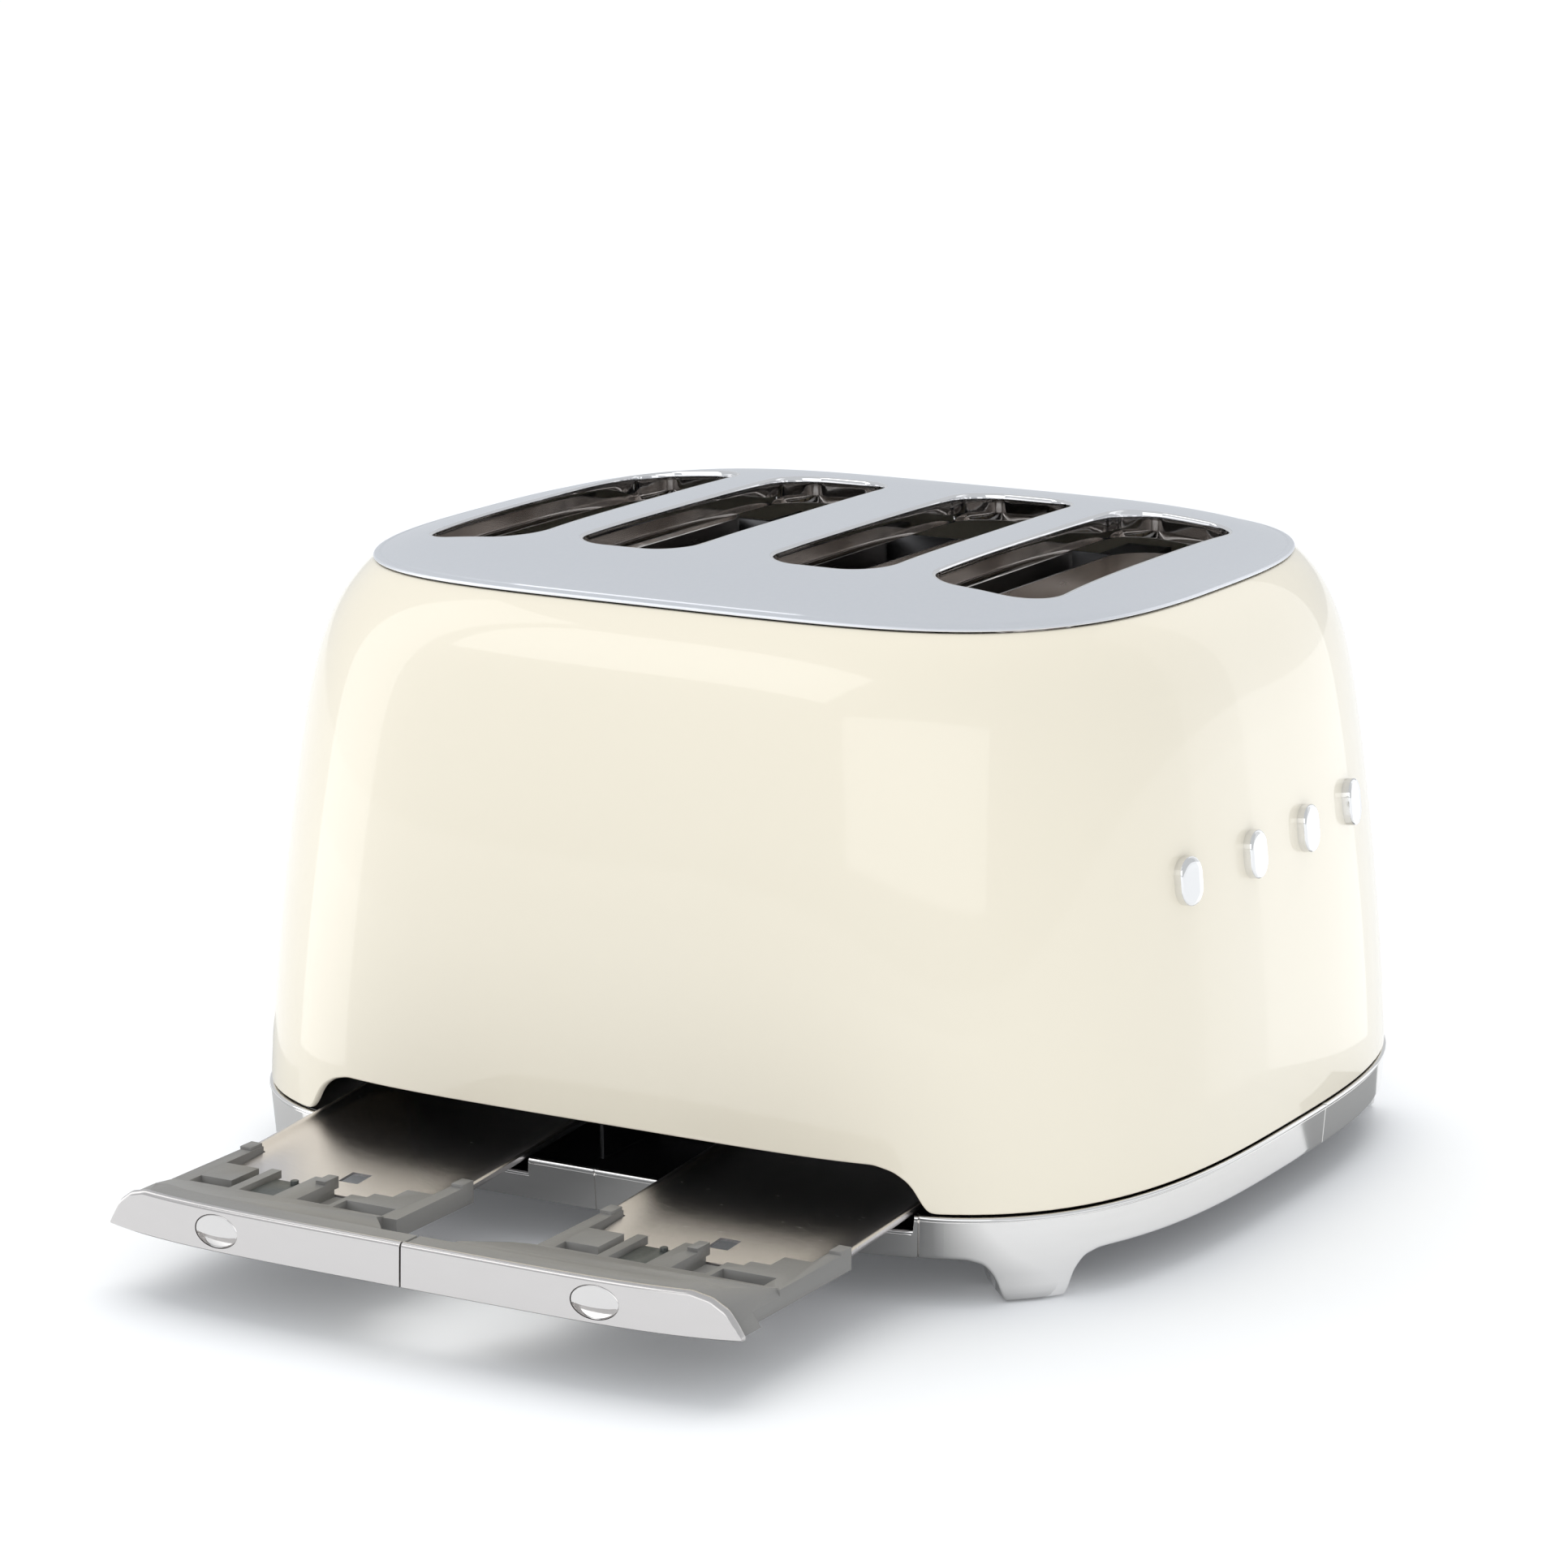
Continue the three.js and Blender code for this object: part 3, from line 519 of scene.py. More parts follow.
def plate_object():
    """The domed plate: fine rows towards its outline, a bright rim there and four bread slots."""
    def ring(share, sink=0.0):
        x, y = on_outline((RIM[0] * share, RIM[1] * share, RIM[2], RIM[3]), turns)
        return np.stack([x, y, dome(x, y) - sink], axis=1)

    turns = whole_turns(quarter_turns(56))
    shares = np.concatenate([
        [0.02, 0.12], np.linspace(0.25, 0.85, 14), np.linspace(0.87, 0.975, 12),
    ])
    edge_z = dome(RIM[0] * shares[-1], 0.0)
    lip_z = PLATE_LOW + 1.0
    rim = [
        (-2.6, edge_z - 0.35), (-2.2, edge_z - 0.5), (-1.6, lip_z + 0.85), (-0.9, lip_z + 0.62),
        (-0.4, lip_z + 0.3), (-0.1, lip_z - 0.1), (0, lip_z - 0.35), (-0.1, lip_z - 0.6),
        (-0.4, lip_z - 0.7), (-PLATE_WALL, lip_z - 0.7), (-PLATE_WALL - 0.1, lip_z - 0.4),
        (-6, PLATE_LOW + 1.4),
    ]
    rows = [ring(share) for share in shares]
    for offset, z in rim:
        x, y = on_outline(RIM, turns, offset)
        rows.append(np.stack([x, y, np.full(len(x), z)], axis=1))
    rows += [ring(share, PLATE_WALL) for share in (0.93, 0.85, 0.6, 0.3, 0.02)]
    plate = grid_object("plate", rows, wrap_rows=False, capped=True)
    cutters = []
    grow = 1.15
    for middle in (-OUTER_SLOT, -INNER_SLOT, INNER_SLOT, OUTER_SLOT):
        outline = ring_points(SLOT_X + grow, SLOT_Y + grow, SLOT_R + grow, 20) + (middle, SLOT_MIDDLE_Y)
        cutters.append(prism("hole", outline, 2, (185, 220)))
    carved(plate, cutters)
    set_normals(plate, dome_normals, 14)
    edge_x, edge_y = RIM[0] - 2.4, RIM[1] - 2.4
    for face in plate.data.polygons:
        x, y, _ = Vector(face.center) * 1000 - Vector((0, MIDDLE_Y, 0))
        if (abs(x) / edge_x) ** RIM[2] + (abs(y) / edge_y) ** RIM[3] > 1:
            face.material_index = 1
    return plate


def slot_lip(name, middle):
    """The rolled edge round one bread slot and the short collar under it."""
    profile = [
        (1.14, -0.5), (1.14, -0.06), (0.95, 0.02), (0.65, 0.03), (0.35, -0.08), (0.12, -0.35),
        (0, -0.8), (0, -3), (0, -6), (0, -8.5), (0.4, -8.9), (0.8, -8.5), (0.8, -6), (0.8, -3),
        (0.9, -1),
    ]
    rings = []
    for offset, drop in profile:
        outline = ring_points(SLOT_X + offset, SLOT_Y + offset, SLOT_R + offset, 24)
        outline = divided(outline + (middle, SLOT_MIDDLE_Y), 6)
        z = dome(outline[:, 0], outline[:, 1]) + drop
        rings.append(np.column_stack([outline, z]))
    return rings_object(name, rings)


def liner_object(name, middle):
    """One toasting chamber's sheet: a wide mouth, a step and a narrower sleeve with windows."""
    mouth = np.array((SLOT_X, SLOT_Y, SLOT_R)) + 0.25
    sleeve = np.array((CHAMBER_X, CHAMBER_Y, CHAMBER_R))
    middle_z = 120
    profile = [
        (mouth, LINER_TOP), (mouth, 182), (mouth, 176), (mouth - 0.3, 174.8), (mouth - 1, STEP_Z + 0.1),
        (sleeve + 1.6, STEP_Z), (sleeve + 0.8, STEP_Z - 0.15), (sleeve + 0.25, STEP_Z - 0.6),
        (sleeve, STEP_Z - 1.4), (sleeve, middle_z), (sleeve, CHAMBER_LOW),
        (sleeve + 0.7, CHAMBER_LOW), (sleeve + 0.7, middle_z), (sleeve + 0.7, STEP_Z - 0.8),
        (mouth + 0.6, STEP_Z - 0.8), (mouth + 0.7, 176), (mouth + 0.7, LINER_TOP),
    ]
    rows = []
    for size, z in profile:
        outline = ring_points(*size, 12) + (middle, SLOT_MIDDLE_Y)
        rows.append(np.insert(outline, 2, z, axis=1))
    liner = grid_object(name, rows)
    cutters = []
    for offset in (-42, 0, 42):
        window = ring_points(18, 39, 4, 6) + (SLOT_MIDDLE_Y + offset, WINDOW_Z)
        cutters.append(prism("window", window, 0, (middle - 25, middle + 25)))
    cutters.append(box_object("slit", (middle - 4, middle + 4), (55, 80), (CHAMBER_LOW - 1, 157)))
    return carved(liner, cutters)


# ---- base ----
def along_foot(x, y):
    """Distance along the corner from the nearest foot's middle."""
    return (np.abs(x) - FOOT_X) * math.cos(FOOT_TURN) - (np.abs(y) - FOOT_Y) * math.sin(FOOT_TURN)


def foot_bottom(along):
    """Height of the skirt's lower edge at a distance along the corner from the foot's middle."""
    xs = (0, 9.9, 11.0, 12.9, 15.8, 20.5, 24, 400)
    zs = (0.5, 0.5, 4.2, 8.4, 11.7, 13.2, BAND_LOW, BAND_LOW)
    return softened(lambda v: np.interp(np.abs(v), xs, zs), along, 1.0)


def skirt_object():
    """The polished band: four feet, notches under the tray mouth, seams and a bright bead on top."""
    fine = np.linspace(0, math.pi / 2, 4000)
    goals = np.concatenate([np.arange(-26, -13, 1.2), np.arange(-13, -7, 0.5), np.arange(-7, 7, 1.6),
                            np.arange(7, 13, 0.5), np.arange(13, 26, 1.2)])
    corner = np.interp(goals, along_foot(*on_outline(BASE, fine))[::-1], fine[::-1])
    quarter = list(quarter_turns(40, corner))
    near = np.array((-0.3, -0.12, 0.12, 0.3, 1.2, 2.2, 3.5, 5, 7, 9, 11))
    both = np.array((-11, -9, -7, -5, -3.5, -2.2, -1.2, -0.3, -0.12, 0.12, 0.3, 1.2, 2.2, 3.5, 5, 7))
    quarter += [turn_at_x(x) for x in (0.12, 0.3, 0.8, 23.3, 23.7, 24.1, 104.9, 105.3, 105.7)]
    quarter += [turn_at_x(x) for x in SEAM_X + near]
    quarter += [math.asin(((SEAM_Y + a) / BASE[1]) ** (BASE[3] / 2)) for a in both]
    turns = whole_turns(np.array(sorted(quarter)))
    x, y = on_outline(BASE, turns)

    foot = along_foot(x, y)
    low = foot_bottom(foot)
    reach = np.clip((24 - np.abs(foot)) / 12, 0, 1)
    depth = BAND_WALL + (FOOT_DEPTH - BAND_WALL) * reach * reach * (3 - 2 * reach)
    notch = np.interp(np.abs(x), (23.3, 23.7, 105.3, 105.7), (0, 1, 1, 0)) * (y < 0)
    crest = BAND_TOP + 0.3
    top = crest - (crest - NOTCH_TOP) * notch
    front_gap = np.where(y < 0, np.abs(x) - SEAM_X, 99)
    side_gap = np.abs(y - SEAM_Y)
    groove = (np.abs(x) < 0.2) & (y < 0) | (np.abs(front_gap) < 0.2) | (side_gap < 0.2) & (np.abs(x) > 120)
    tuck = np.where((y < 0) & (np.abs(x) < SEAM_X), 0.45, 0.0) + 0.5 * groove
    tuck = tuck + 0.9 * np.exp(-np.where(front_gap < 0, 99, front_gap) / 5.5)

    def lean(z):
        return -0.6 + np.clip((z - BAND_LOW) / (BAND_TOP - BAND_LOW), -0.5, 1)

    rows = []
    for k in (0.0, 0.35, 0.7, 1.0):
        z = low + 0.9 * (1 - math.cos(k * math.pi / 2))
        rows.append((lean(z) - 0.9 * (1 - math.sin(k * math.pi / 2)), z))
    for share in np.linspace(0.06, 1, 12):
        z = (low + 0.9) + (top - BEAD - low - 0.9) * share
        rows.append((lean(z), z))
    for offset, rise in (
        (-0.22, 0.12 - BEAD), (-0.22, 0.3 - BEAD), (0.12, 0.5 - BEAD), (0.3, 0.85 - BEAD), (0.25, -0.45),
        (-0.05, -0.12), (-0.5, 0), (-1.8, 0), (-BAND_WALL, -0.5),
    ):
        rows.append((lean(top) + offset, top + rise))
    rows.append((lean(BAND_LOW + 2) - BAND_WALL, BAND_LOW + 1.6))
    rows.append((lean(BAND_LOW) - depth, BAND_LOW + 0.6))
    rows.append((lean(low) - depth, low + 0.6))
    rows.append((lean(low) - depth + 0.6, low))
    grid = []
    for offset, z in rows:
        px, py = on_outline(BASE, turns, offset - tuck)
        grid.append(np.stack([px, py, z + 0 * px], axis=1))
    return grid_object("skirt", grid, angle=40)


# ---- crumb trays ----
def pulled_out(piece):
    """The piece moved from where it closes the mouth to where its tray rests."""
    piece.data.transform(Matrix.Translation((0, PULL_Y / 1000, PULL_Z / 1000)))
    return piece


def fascia_section(top):
    """Closed section (offset, z) of the fascia, with a broad rounded outer edge."""
    low = 27.0
    edge = min(1.5, (top - low) * 0.3)
    section = arc((-0.35, low + 0.35), 0.35, -90, 0, 4)
    section += [(0, low + 0.35 + (top - edge - low - 0.35) * k / 8) for k in range(1, 8)]
    section += arc((-edge, top - edge), edge, 0, 90, 8)
    section += arc((-2 + 0.25, top - 0.25), 0.25, 90, 180, 3)
    section += [(-2, top - 0.3 + (low - top + 0.7) * k / 6) for k in range(1, 6)]
    section += arc((-2 + 0.25, low + 0.25), 0.25, 180, 270, 3)
    return section


def fascia_object(name, side):
    xs = np.concatenate([[0.25, 0.32, 0.5, 1], np.linspace(4, 88, 43), np.linspace(89, FASCIA_END, 46)])
    tops = fascia_height(xs)
    columns = []
    for x, top in zip(xs, tops):
        pinch = 0.25 if x < 0.3 else 0.08 if x < 0.4 else 0.0
        section = fascia_section(top)
        column = []
        for offset, z in section:
            grow = np.clip(offset, -2 + pinch, -pinch)
            column.append((side * x, float(front_y(x, z, grow)), z))
        columns.append(column)
    grid = np.array(columns).transpose(1, 0, 2)
    piece = grid_object(name, grid, wrap_columns=False, capped=True, angle=40)
    carved(piece, [oval_cutter(side)], 40)
    set_normals(piece, body_normals, 8)
    return pulled_out(piece)


def oval_cutter(side):
    """What the release button's opening takes out of the fascia."""
    angles = circle(96)
    x = side * TRAY_X + (OVAL_X + OVAL_GAP) * np.cos(angles)
    z = OVAL_MIDDLE_Z + (OVAL_Z + OVAL_GAP) * np.sin(angles)
    return prism("oval", np.stack([x, z], axis=1), 1, (-160, -120))


def button_ledge(u):
    """Height of the ledge above the button's scoop, as a share of the oval's half height."""
    return -0.19 - 0.14 * (1 - u * u)


def tray_button_object(name, side):
    """The oval release button: a flush upper face, a band of dark material under it as painted shade, and a
    finger scoop.
    """
    angles = circle(120)
    rows = []
    for ring in np.concatenate([[0.01], np.linspace(0.04, 0.94, 56), [0.96, 0.975, 0.988, 0.996, 1.0]]):
        u = ring * np.cos(angles)
        v = ring * np.sin(angles)
        x = side * TRAY_X + OVAL_X * u
        z = OVAL_MIDDLE_Z + OVAL_Z * v
        inside = np.clip((button_ledge(u) - v) / 0.05, 0, 1)
        scoop = 2.6 * inside ** 0.6 * np.clip((v + 1.05) / 0.7, 0.0, 1) ** 0.9
        scoop *= np.clip((1.0 - ring) / 0.05, 0, 1) ** 0.5
        roll = 0.2 * np.clip((ring - 0.94) / 0.06, 0, 1) ** 2
        rows.append(np.stack([x, front_y(x, z) + 0.05 + scoop + roll, z], axis=1))
    for ring, depth in ((1.0, 3), (1.0, 6.2), (0.98, 6.5), (0.5, 6.5), (0.01, 6.5)):
        x = side * TRAY_X + OVAL_X * ring * np.cos(angles)
        z = OVAL_MIDDLE_Z + OVAL_Z * ring * np.sin(angles)
        y = np.full(len(angles), front_y(TRAY_X, OVAL_MIDDLE_Z)) + depth
        rows.append(np.stack([x, y, z], axis=1))
    piece = grid_object(name, rows, wrap_rows=False, capped=True, angle=48)
    # Faces in a narrow band just under the ledge take the dark second material: painted shade where the
    # scoop's deep corner falls dark.
    for face in piece.data.polygons:
        place = face.center * 1000
        u = (place.x - side * TRAY_X) / OVAL_X
        drop = button_ledge(u) - (place.z - OVAL_MIDDLE_Z) / OVAL_Z
        face.material_index = int(0.0 < drop < 0.25 + 0.05 * u)
    return pulled_out(piece)


def about_origin(piece):
    """The piece moved back out of the body's frame, to be turned about its own origin."""
    piece.data.transform(Matrix.Translation((0, -MIDDLE_Y / 1000, 0)))
    return piece


def crumb_tray_object(name, side):
    """The tray's sheet: rolled rails at its sides, a soft step down to the flat floor."""
    half = [
        (0, -2.62), (10, -2.62), (20, -2.6), (26, -2.58), (29, -2.52), (31.5, -2.36), (33.6, -2.08),
        (35.6, -1.62), (37.2, -1.02), (38.1, -0.5), (38.7, -0.16), (39.2, -0.02), (39.7, 0),
        (40.05, -0.1), (40.28, -0.35), (40.3, -1.0), (40.3, -1.8), (40.15, -2.1), (39.8, -2.2),
        (39.45, -2.1), (39.3, -1.8), (39.2, -1.2), (38.5, -1.15), (37.2, -1.75), (35.6, -2.35),
        (33.6, -2.8), (31.5, -3.1), (29, -3.28), (20, -3.38), (10, -3.4), (0, -3.4),
    ]
    profile = half + [(-u, z) for u, z in half[::-1][1:-1]]
    ys = np.concatenate([[-19], np.linspace(-18.5, 139, 40), [140]])
    grid = [[(u, y, z) for y in ys] for u, z in profile]
    tray = about_origin(grid_object(name, grid, wrap_columns=False, capped=True, angle=35))
    corners = [box_object("corner", (edge * 35.6, edge * 50), (-30, 0.3), (-6, 2)) for edge in (-1, 1)]
    cutters = [box_object("window", (-2.5, 4.5), (-9, -1), (-6, 2))] + corners
    carved(tray, [about_origin(cutter) for cutter in cutters], 35)
    floor = [(u, z + 0.15) for u, z in half[:15]]
    wall = floor + [(u, -0.3) for u in np.linspace(37.6, -37.6, 24)] + [(-u, z) for u, z in floor[:0:-1]]
    ends = [[(u, y, z) for u, z in wall] for y in (139, 139.15, 139.85, 140)]
    rear = about_origin(grid_object("rear", ends, wrap_rows=False, capped=True))
    tray = joined(name, [tray, rear])
    rail = Matrix.Translation(metres((side * TRAY_X, RAIL_Y, RAIL_Z)))
    tray.data.transform(rail @ Matrix.Rotation(TILT, 4, "X"))
    return tray


def refined(name, node, width):
    """A copy of a CAD node with flat faces merged and small rounded edges."""
    bm = bmesh.new()
    bm.from_mesh(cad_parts[node].data)
    bmesh.ops.remove_doubles(bm, verts=bm.verts, dist=2e-6)
    bmesh.ops.dissolve_limit(bm, angle_limit=math.radians(2), verts=bm.verts, edges=bm.edges)
    mesh = bpy.data.meshes.new(name)
    bm.to_mesh(mesh)
    bm.free()
    return applied(bevelled(placed(name, mesh), width), 34)


def on_rear(x, z, proud=0.0):
    """Y of the body's rear face at (x, z), grown outwards."""
    return -front_y(x, z, proud)


# ---- controls ----
def knob_profile(points, reach=0.9, steps=5):
    """A turned profile with its corners rounded off."""
    rounded = [points[0]]
    for before, at, after in zip(points, points[1:], points[2:]):
        before, at, after = (np.array(q, float) for q in (before, at, after))
        inward = before - at
        outward_leg = after - at
        trim = min(reach, 0.4 * np.linalg.norm(inward), 0.4 * np.linalg.norm(outward_leg))
        start = at + inward / np.linalg.norm(inward) * trim
        end = at + outward_leg / np.linalg.norm(outward_leg) * trim
        for k in np.linspace(0, 1, steps):
            rounded.append(tuple((1 - k) ** 2 * start + 2 * k * (1 - k) * at + k * k * end))
    rounded.append(points[-1])
    return rounded


def lever_knob_object(name, side):
    """A round lever knob with a waist, and the socket that its carriage's arm fits."""
    x = side * SIDE_X
    profile = [(0, 146.8), (6.5, 146.8), (8.2, 148), (8.6, 149.2), (8.4, 149.7), (8.9, 150.3),
               (9.4, 152.6), (9.6, 155), (9.2, 159.5), (7.4, 163), (4, 165.2), (0, 165.9)]
    knob = turned(name, knob_profile(profile, 1.6), (x, LEVER_Z), 96)
    socket = box_object("socket", (x - 3.3, x + 3.3), (140, 152.4), (LEVER_Z - 1.8, LEVER_Z + 1.8))
    return carved(knob, [socket])


def browning_knob_object(name, side):
    """A chrome knob with a ribbed edge and a dished face."""
    x = side * SIDE_X
    profile = [(0, 139.9), (3, 139.9), (3, 148.4), (16, 148.4), (16, 149.6), (15.7, 150.4),
               (15.1, 158.8), (13.9, 160), (12.4, 160), (11.6, 159.4), (0, 159.1)]
    knob = turned("knob", knob_profile(profile, 0.5), (x, KNOB_Z), 120)
    ribs = []
    count = 40
    for i in range(count):
        angle = (i + 0.5) / count * 2 * math.pi
        path = [(x + radius * math.cos(angle), y, KNOB_Z + radius * math.sin(angle))
                for radius, y in ((15.5, 151.4), (15.2, 157.6))]
        ribs.append(tube("rib", path, 0.42, 8))
    return joined(name, [knob] + ribs)


def pointer_object(name, side):
    """The dark bar on a browning knob's face."""
    x = side * SIDE_X
    bar = box_object(name, (x - 1.4, x + 1.4), (158.6, 161.2), (KNOB_Z + 2, KNOB_Z + 13))
    return applied(bevelled(bar, 0.6, 3))


def dial_marks(name, side):
    """Seven round marks on the casing round a browning knob."""
    marks = []
    for i in range(7):
        angle = math.radians(90 + (i - 3) * 45)
        x = side * SIDE_X + 20.5 * math.cos(angle)
        z = KNOB_Z + 20.5 * math.sin(angle)
        y = float(on_rear(x, z))
        size = 0.75 + 0.12 * i
        profile = [(0, y - 1), (size, y - 1), (size, y + 0.15), (size * 0.8, y + 0.3), (0, y + 0.32)]
        marks.append(turned("mark", profile, (x, z), 24))
    return joined(name, marks)


def push_button_object(name, x, z):
    """A small push button with a dished face and a stem."""
    profile = [(0, 141), (2, 141), (2, 144), (4.8, 144), (4.8, 148.6), (4.5, 149.4), (3.9, 149.7),
               (3.2, 149.5), (1.6, 149.1), (0, 149.0)]
    return turned(name, knob_profile(profile, 0.25, 4), (x, z), 64)


def button_bezel(name, x, z):
    """A thin ring round a push button, seated on the casing."""
    section = [(5.45, -0.6), (6.7, -0.6), (6.75, 0.1), (6.55, 0.4), (6.2, 0.55), (5.8, 0.5),
               (5.5, 0.3), (5.42, 0)]
    angles = circle(72)
    rows = []
    for radius, proud in section:
        px = x + radius * np.cos(angles)
        pz = z + radius * np.sin(angles)
        rows.append(np.stack([px, on_rear(px, pz) + proud, pz], axis=1))
    return grid_object(name, rows)


def lever_guide_object(name, side):
    """The bezel round a lever's slot, seated on the casing."""
    section = [(0, 0.05), (0, 0.9), (0.1, 1.2), (0.35, 1.42), (0.8, 1.55), (1.7, 1.6), (2.5, 1.5),
               (3.05, 1.25), (3.38, 0.9), (3.5, 0.5), (3.5, 0.05)]
    rings = []
    for offset, proud in section:
        half = 4.9 + offset
        outline = ring_points(half, (STROKE + 14.6) / 2 + offset, half - 0.01, 22)
        x, z = divided(outline + (side * SIDE_X, LEVER_Z - STROKE / 2), 4).T
        rings.append(np.column_stack([x, on_rear(x, z) + proud, z]))
    return rings_object(name, rings)


def gland_object():
    """The rubber-like bush where the mains lead leaves."""
    section = [
        (3.4, 141), (7, 141), (7, 148.4), (10.3, 148.4), (10.5, 148.7), (10.5, 150.2), (10.3, 150.7),
        (9.4, 151.7), (8.8, 152), (5.6, 152), (5.2, 151.6), (4.9, 150.9), (4.6, 151.6), (4.2, 152),
        (3.7, 152), (3.4, 151.6),
    ]
    return grid_object("gland", turned_rows(section, (0, CORD_Z), 72))


def stud_object(name, y, z):
    """A plain oval stud that stands on the casing's right side."""
    half_x, half_y, nx, ny = body_outline(z)
    x = half_x * (1 - (abs(y) / half_y) ** ny) ** (1 / nx)
    middle = np.array([x, y, z])
    normal = body_normals(middle[None])[0]
    across = np.cross((0, 0, 1), normal)
    across /= np.linalg.norm(across)
    up = np.cross(normal, across)
    rows = []
    profile = ((1, -0.6), (1, 2.2), (0.99, 2.6), (0.95, 2.9), (0.88, 3.05), (0.7, 3.15), (0.4, 3.2),
               (0.02, 3.22))
    for share, rise in profile:
        ring = ring_points(5.5, 7.5, 5.4, 16) * share
        rows.append(middle + ring[:, :1] * across + ring[:, 1:] * up + normal * rise)
    return grid_object(name, rows, wrap_rows=False, capped=True, angle=40)


# ---- inside ----
def spring_object(name, side):
    """The lift's return spring round its guide rod."""
    low, high, turns = 33.2, 149.0, 7
    radius = 5.6
    path = []
    for share in np.arange(turns * 28 + 1) / (turns * 28):
        angle = share * turns * 2 * math.pi
        x = side * SIDE_X + radius * math.cos(angle)
        path.append((x, ROD_Y + radius * math.sin(angle), low + (high - low) * share))
    return tube(name, path, 0.7, 8)


def rod_object(name, side):
    """The rod that a lift runs on."""
    profile = [(0, ROD_LOW), (2.5, ROD_LOW), (3, ROD_LOW + 0.5), (3, 100), (3, 181.5), (2.5, 182), (0, 182)]
    return turned(name, profile, (side * SIDE_X, ROD_Y), 48, 2)


def pad_object(name, x, y):
    """A rubber pad under one foot."""
    profile = [(0, 0.35), (2.4, 0.35), (2.7, 0), (4.1, 0), (4.5, 0.4), (4.5, 2.6), (4.3, 3), (0, 3)]
    return turned(name, profile, (x, y), 56, 2)


def guard_object(name, x):
    """One bread guard: two long wires and five upright ones."""
    wires = []
    for z in (72, 166):
        path = [(x, SLOT_MIDDLE_Y + y, z) for y in np.linspace(-64, 64, 9)]
        wires.append(tube("wire", path, 1.0, 12))
    for i in range(-2, 3):
        path = [(x, SLOT_MIDDLE_Y + i * 25, z) for z in np.linspace(72.4, 165.6, 9)]
        wires.append(tube("wire", path, 0.8, 10))
    return joined(name, wires)


def winding_object(name, x):
    """The heating wire on both faces of one mica board."""
    wires = []
    for i in range(13):
        for face in (-1, 1):
            path = [(x + face * 0.75, y, 74 + i * 7.4) for y in np.linspace(-74.6, 67.6, 5)]
            wires.append(tube("wire", path, 0.3, 6))
    return joined(name, wires)


# ---- materials ----
def material(name):
    made = bpy.data.materials.new(name)
    made.use_nodes = True
    nodes = made.node_tree.nodes
    return made, nodes, made.node_tree.links, nodes["Principled BSDF"]


def preset(node, **values):
    """Sets a node's inputs by name, with _ for each space."""
    for name, value in values.items():
        node.inputs[name.replace("_", " ")].default_value = value


def coordinates(nodes, links, scale=(1, 1, 1)):
    place = nodes.new("ShaderNodeTexCoord")
    mapping = nodes.new("ShaderNodeMapping")
    preset(mapping, Scale=scale)
    links.new(place.outputs["Object"], mapping.inputs["Vector"])
    return mapping.outputs["Vector"]


def noise(nodes, links, vector, scale, detail=3.0):
    node = nodes.new("ShaderNodeTexNoise")
    preset(node, Scale=scale, Detail=detail)
    links.new(vector, node.inputs["Vector"])
    return node.outputs["Fac"]


def spread(nodes, links, value, low, high):
    node = nodes.new("ShaderNodeMapRange")
    preset(node, To_Min=low, To_Max=high)
    links.new(value, node.inputs["Value"])
    return node.outputs["Result"]


def tinted(nodes, links, value, first, second):
    node = nodes.new("ShaderNodeMix")
    node.data_type = "RGBA"
    preset(node, A=(*first, 1), B=(*second, 1))
    links.new(value, node.inputs["Factor"])
    return node.outputs["Result"]


def bumped(nodes, links, shader, height, strength, distance):
    node = nodes.new("ShaderNodeBump")
    preset(node, Strength=strength, Distance=distance)
    links.new(height, node.inputs["Height"])
    links.new(node.outputs["Normal"], shader.inputs["Normal"])


def metal(name, first, second, rough, size, scale=(1, 1, 1), bump=0.0):
    """A metal with a little tone and roughness variation; scale stretches its grain into brushing."""
    made, nodes, links, shader = material(name)
    vector = coordinates(nodes, links, scale)
    value = noise(nodes, links, vector, size, 4.0)
    preset(shader, Metallic=1.0)
    links.new(tinted(nodes, links, value, first, second), shader.inputs["Base Color"])
    links.new(spread(nodes, links, value, *rough), shader.inputs["Roughness"])
    if bump:
        fine = noise(nodes, links, vector, size * 6, 2.0)
        bumped(nodes, links, shader, fine, bump, 0.0002)
    return made


def plastic(name, first, second, rough, bump=0.15):
    """A moulded plastic or rubber with a fine texture."""
    made, nodes, links, shader = material(name)
    vector = coordinates(nodes, links)
    broad = noise(nodes, links, vector, 18.0, 2.0)
    fine = noise(nodes, links, vector, 900.0, 2.0)
    links.new(tinted(nodes, links, broad, first, second), shader.inputs["Base Color"])
    links.new(spread(nodes, links, fine, *rough), shader.inputs["Roughness"])
    bumped(nodes, links, shader, fine, bump, 0.0002)
    return made


def enamel():
    """Cream stoved enamel under a clear gloss, with the faintest orange peel."""
    made, nodes, links, shader = material("cream_enamel")
    vector = coordinates(nodes, links)
    broad = noise(nodes, links, vector, 9.0, 2.0)
    peel = noise(nodes, links, vector, 260.0, 2.0)
    cream = tinted(nodes, links, broad, (0.915, 0.845, 0.69), (0.925, 0.86, 0.715))
    links.new(cream, shader.inputs["Base Color"])
    links.new(spread(nodes, links, broad, 0.30, 0.36), shader.inputs["Roughness"])
    preset(shader, Specular_IOR_Level=0.3, Coat_Weight=0.9, Coat_Roughness=0.035, Coat_IOR=1.5)
    bumped(nodes, links, shader, peel, 0.03, 0.0001)
    return made


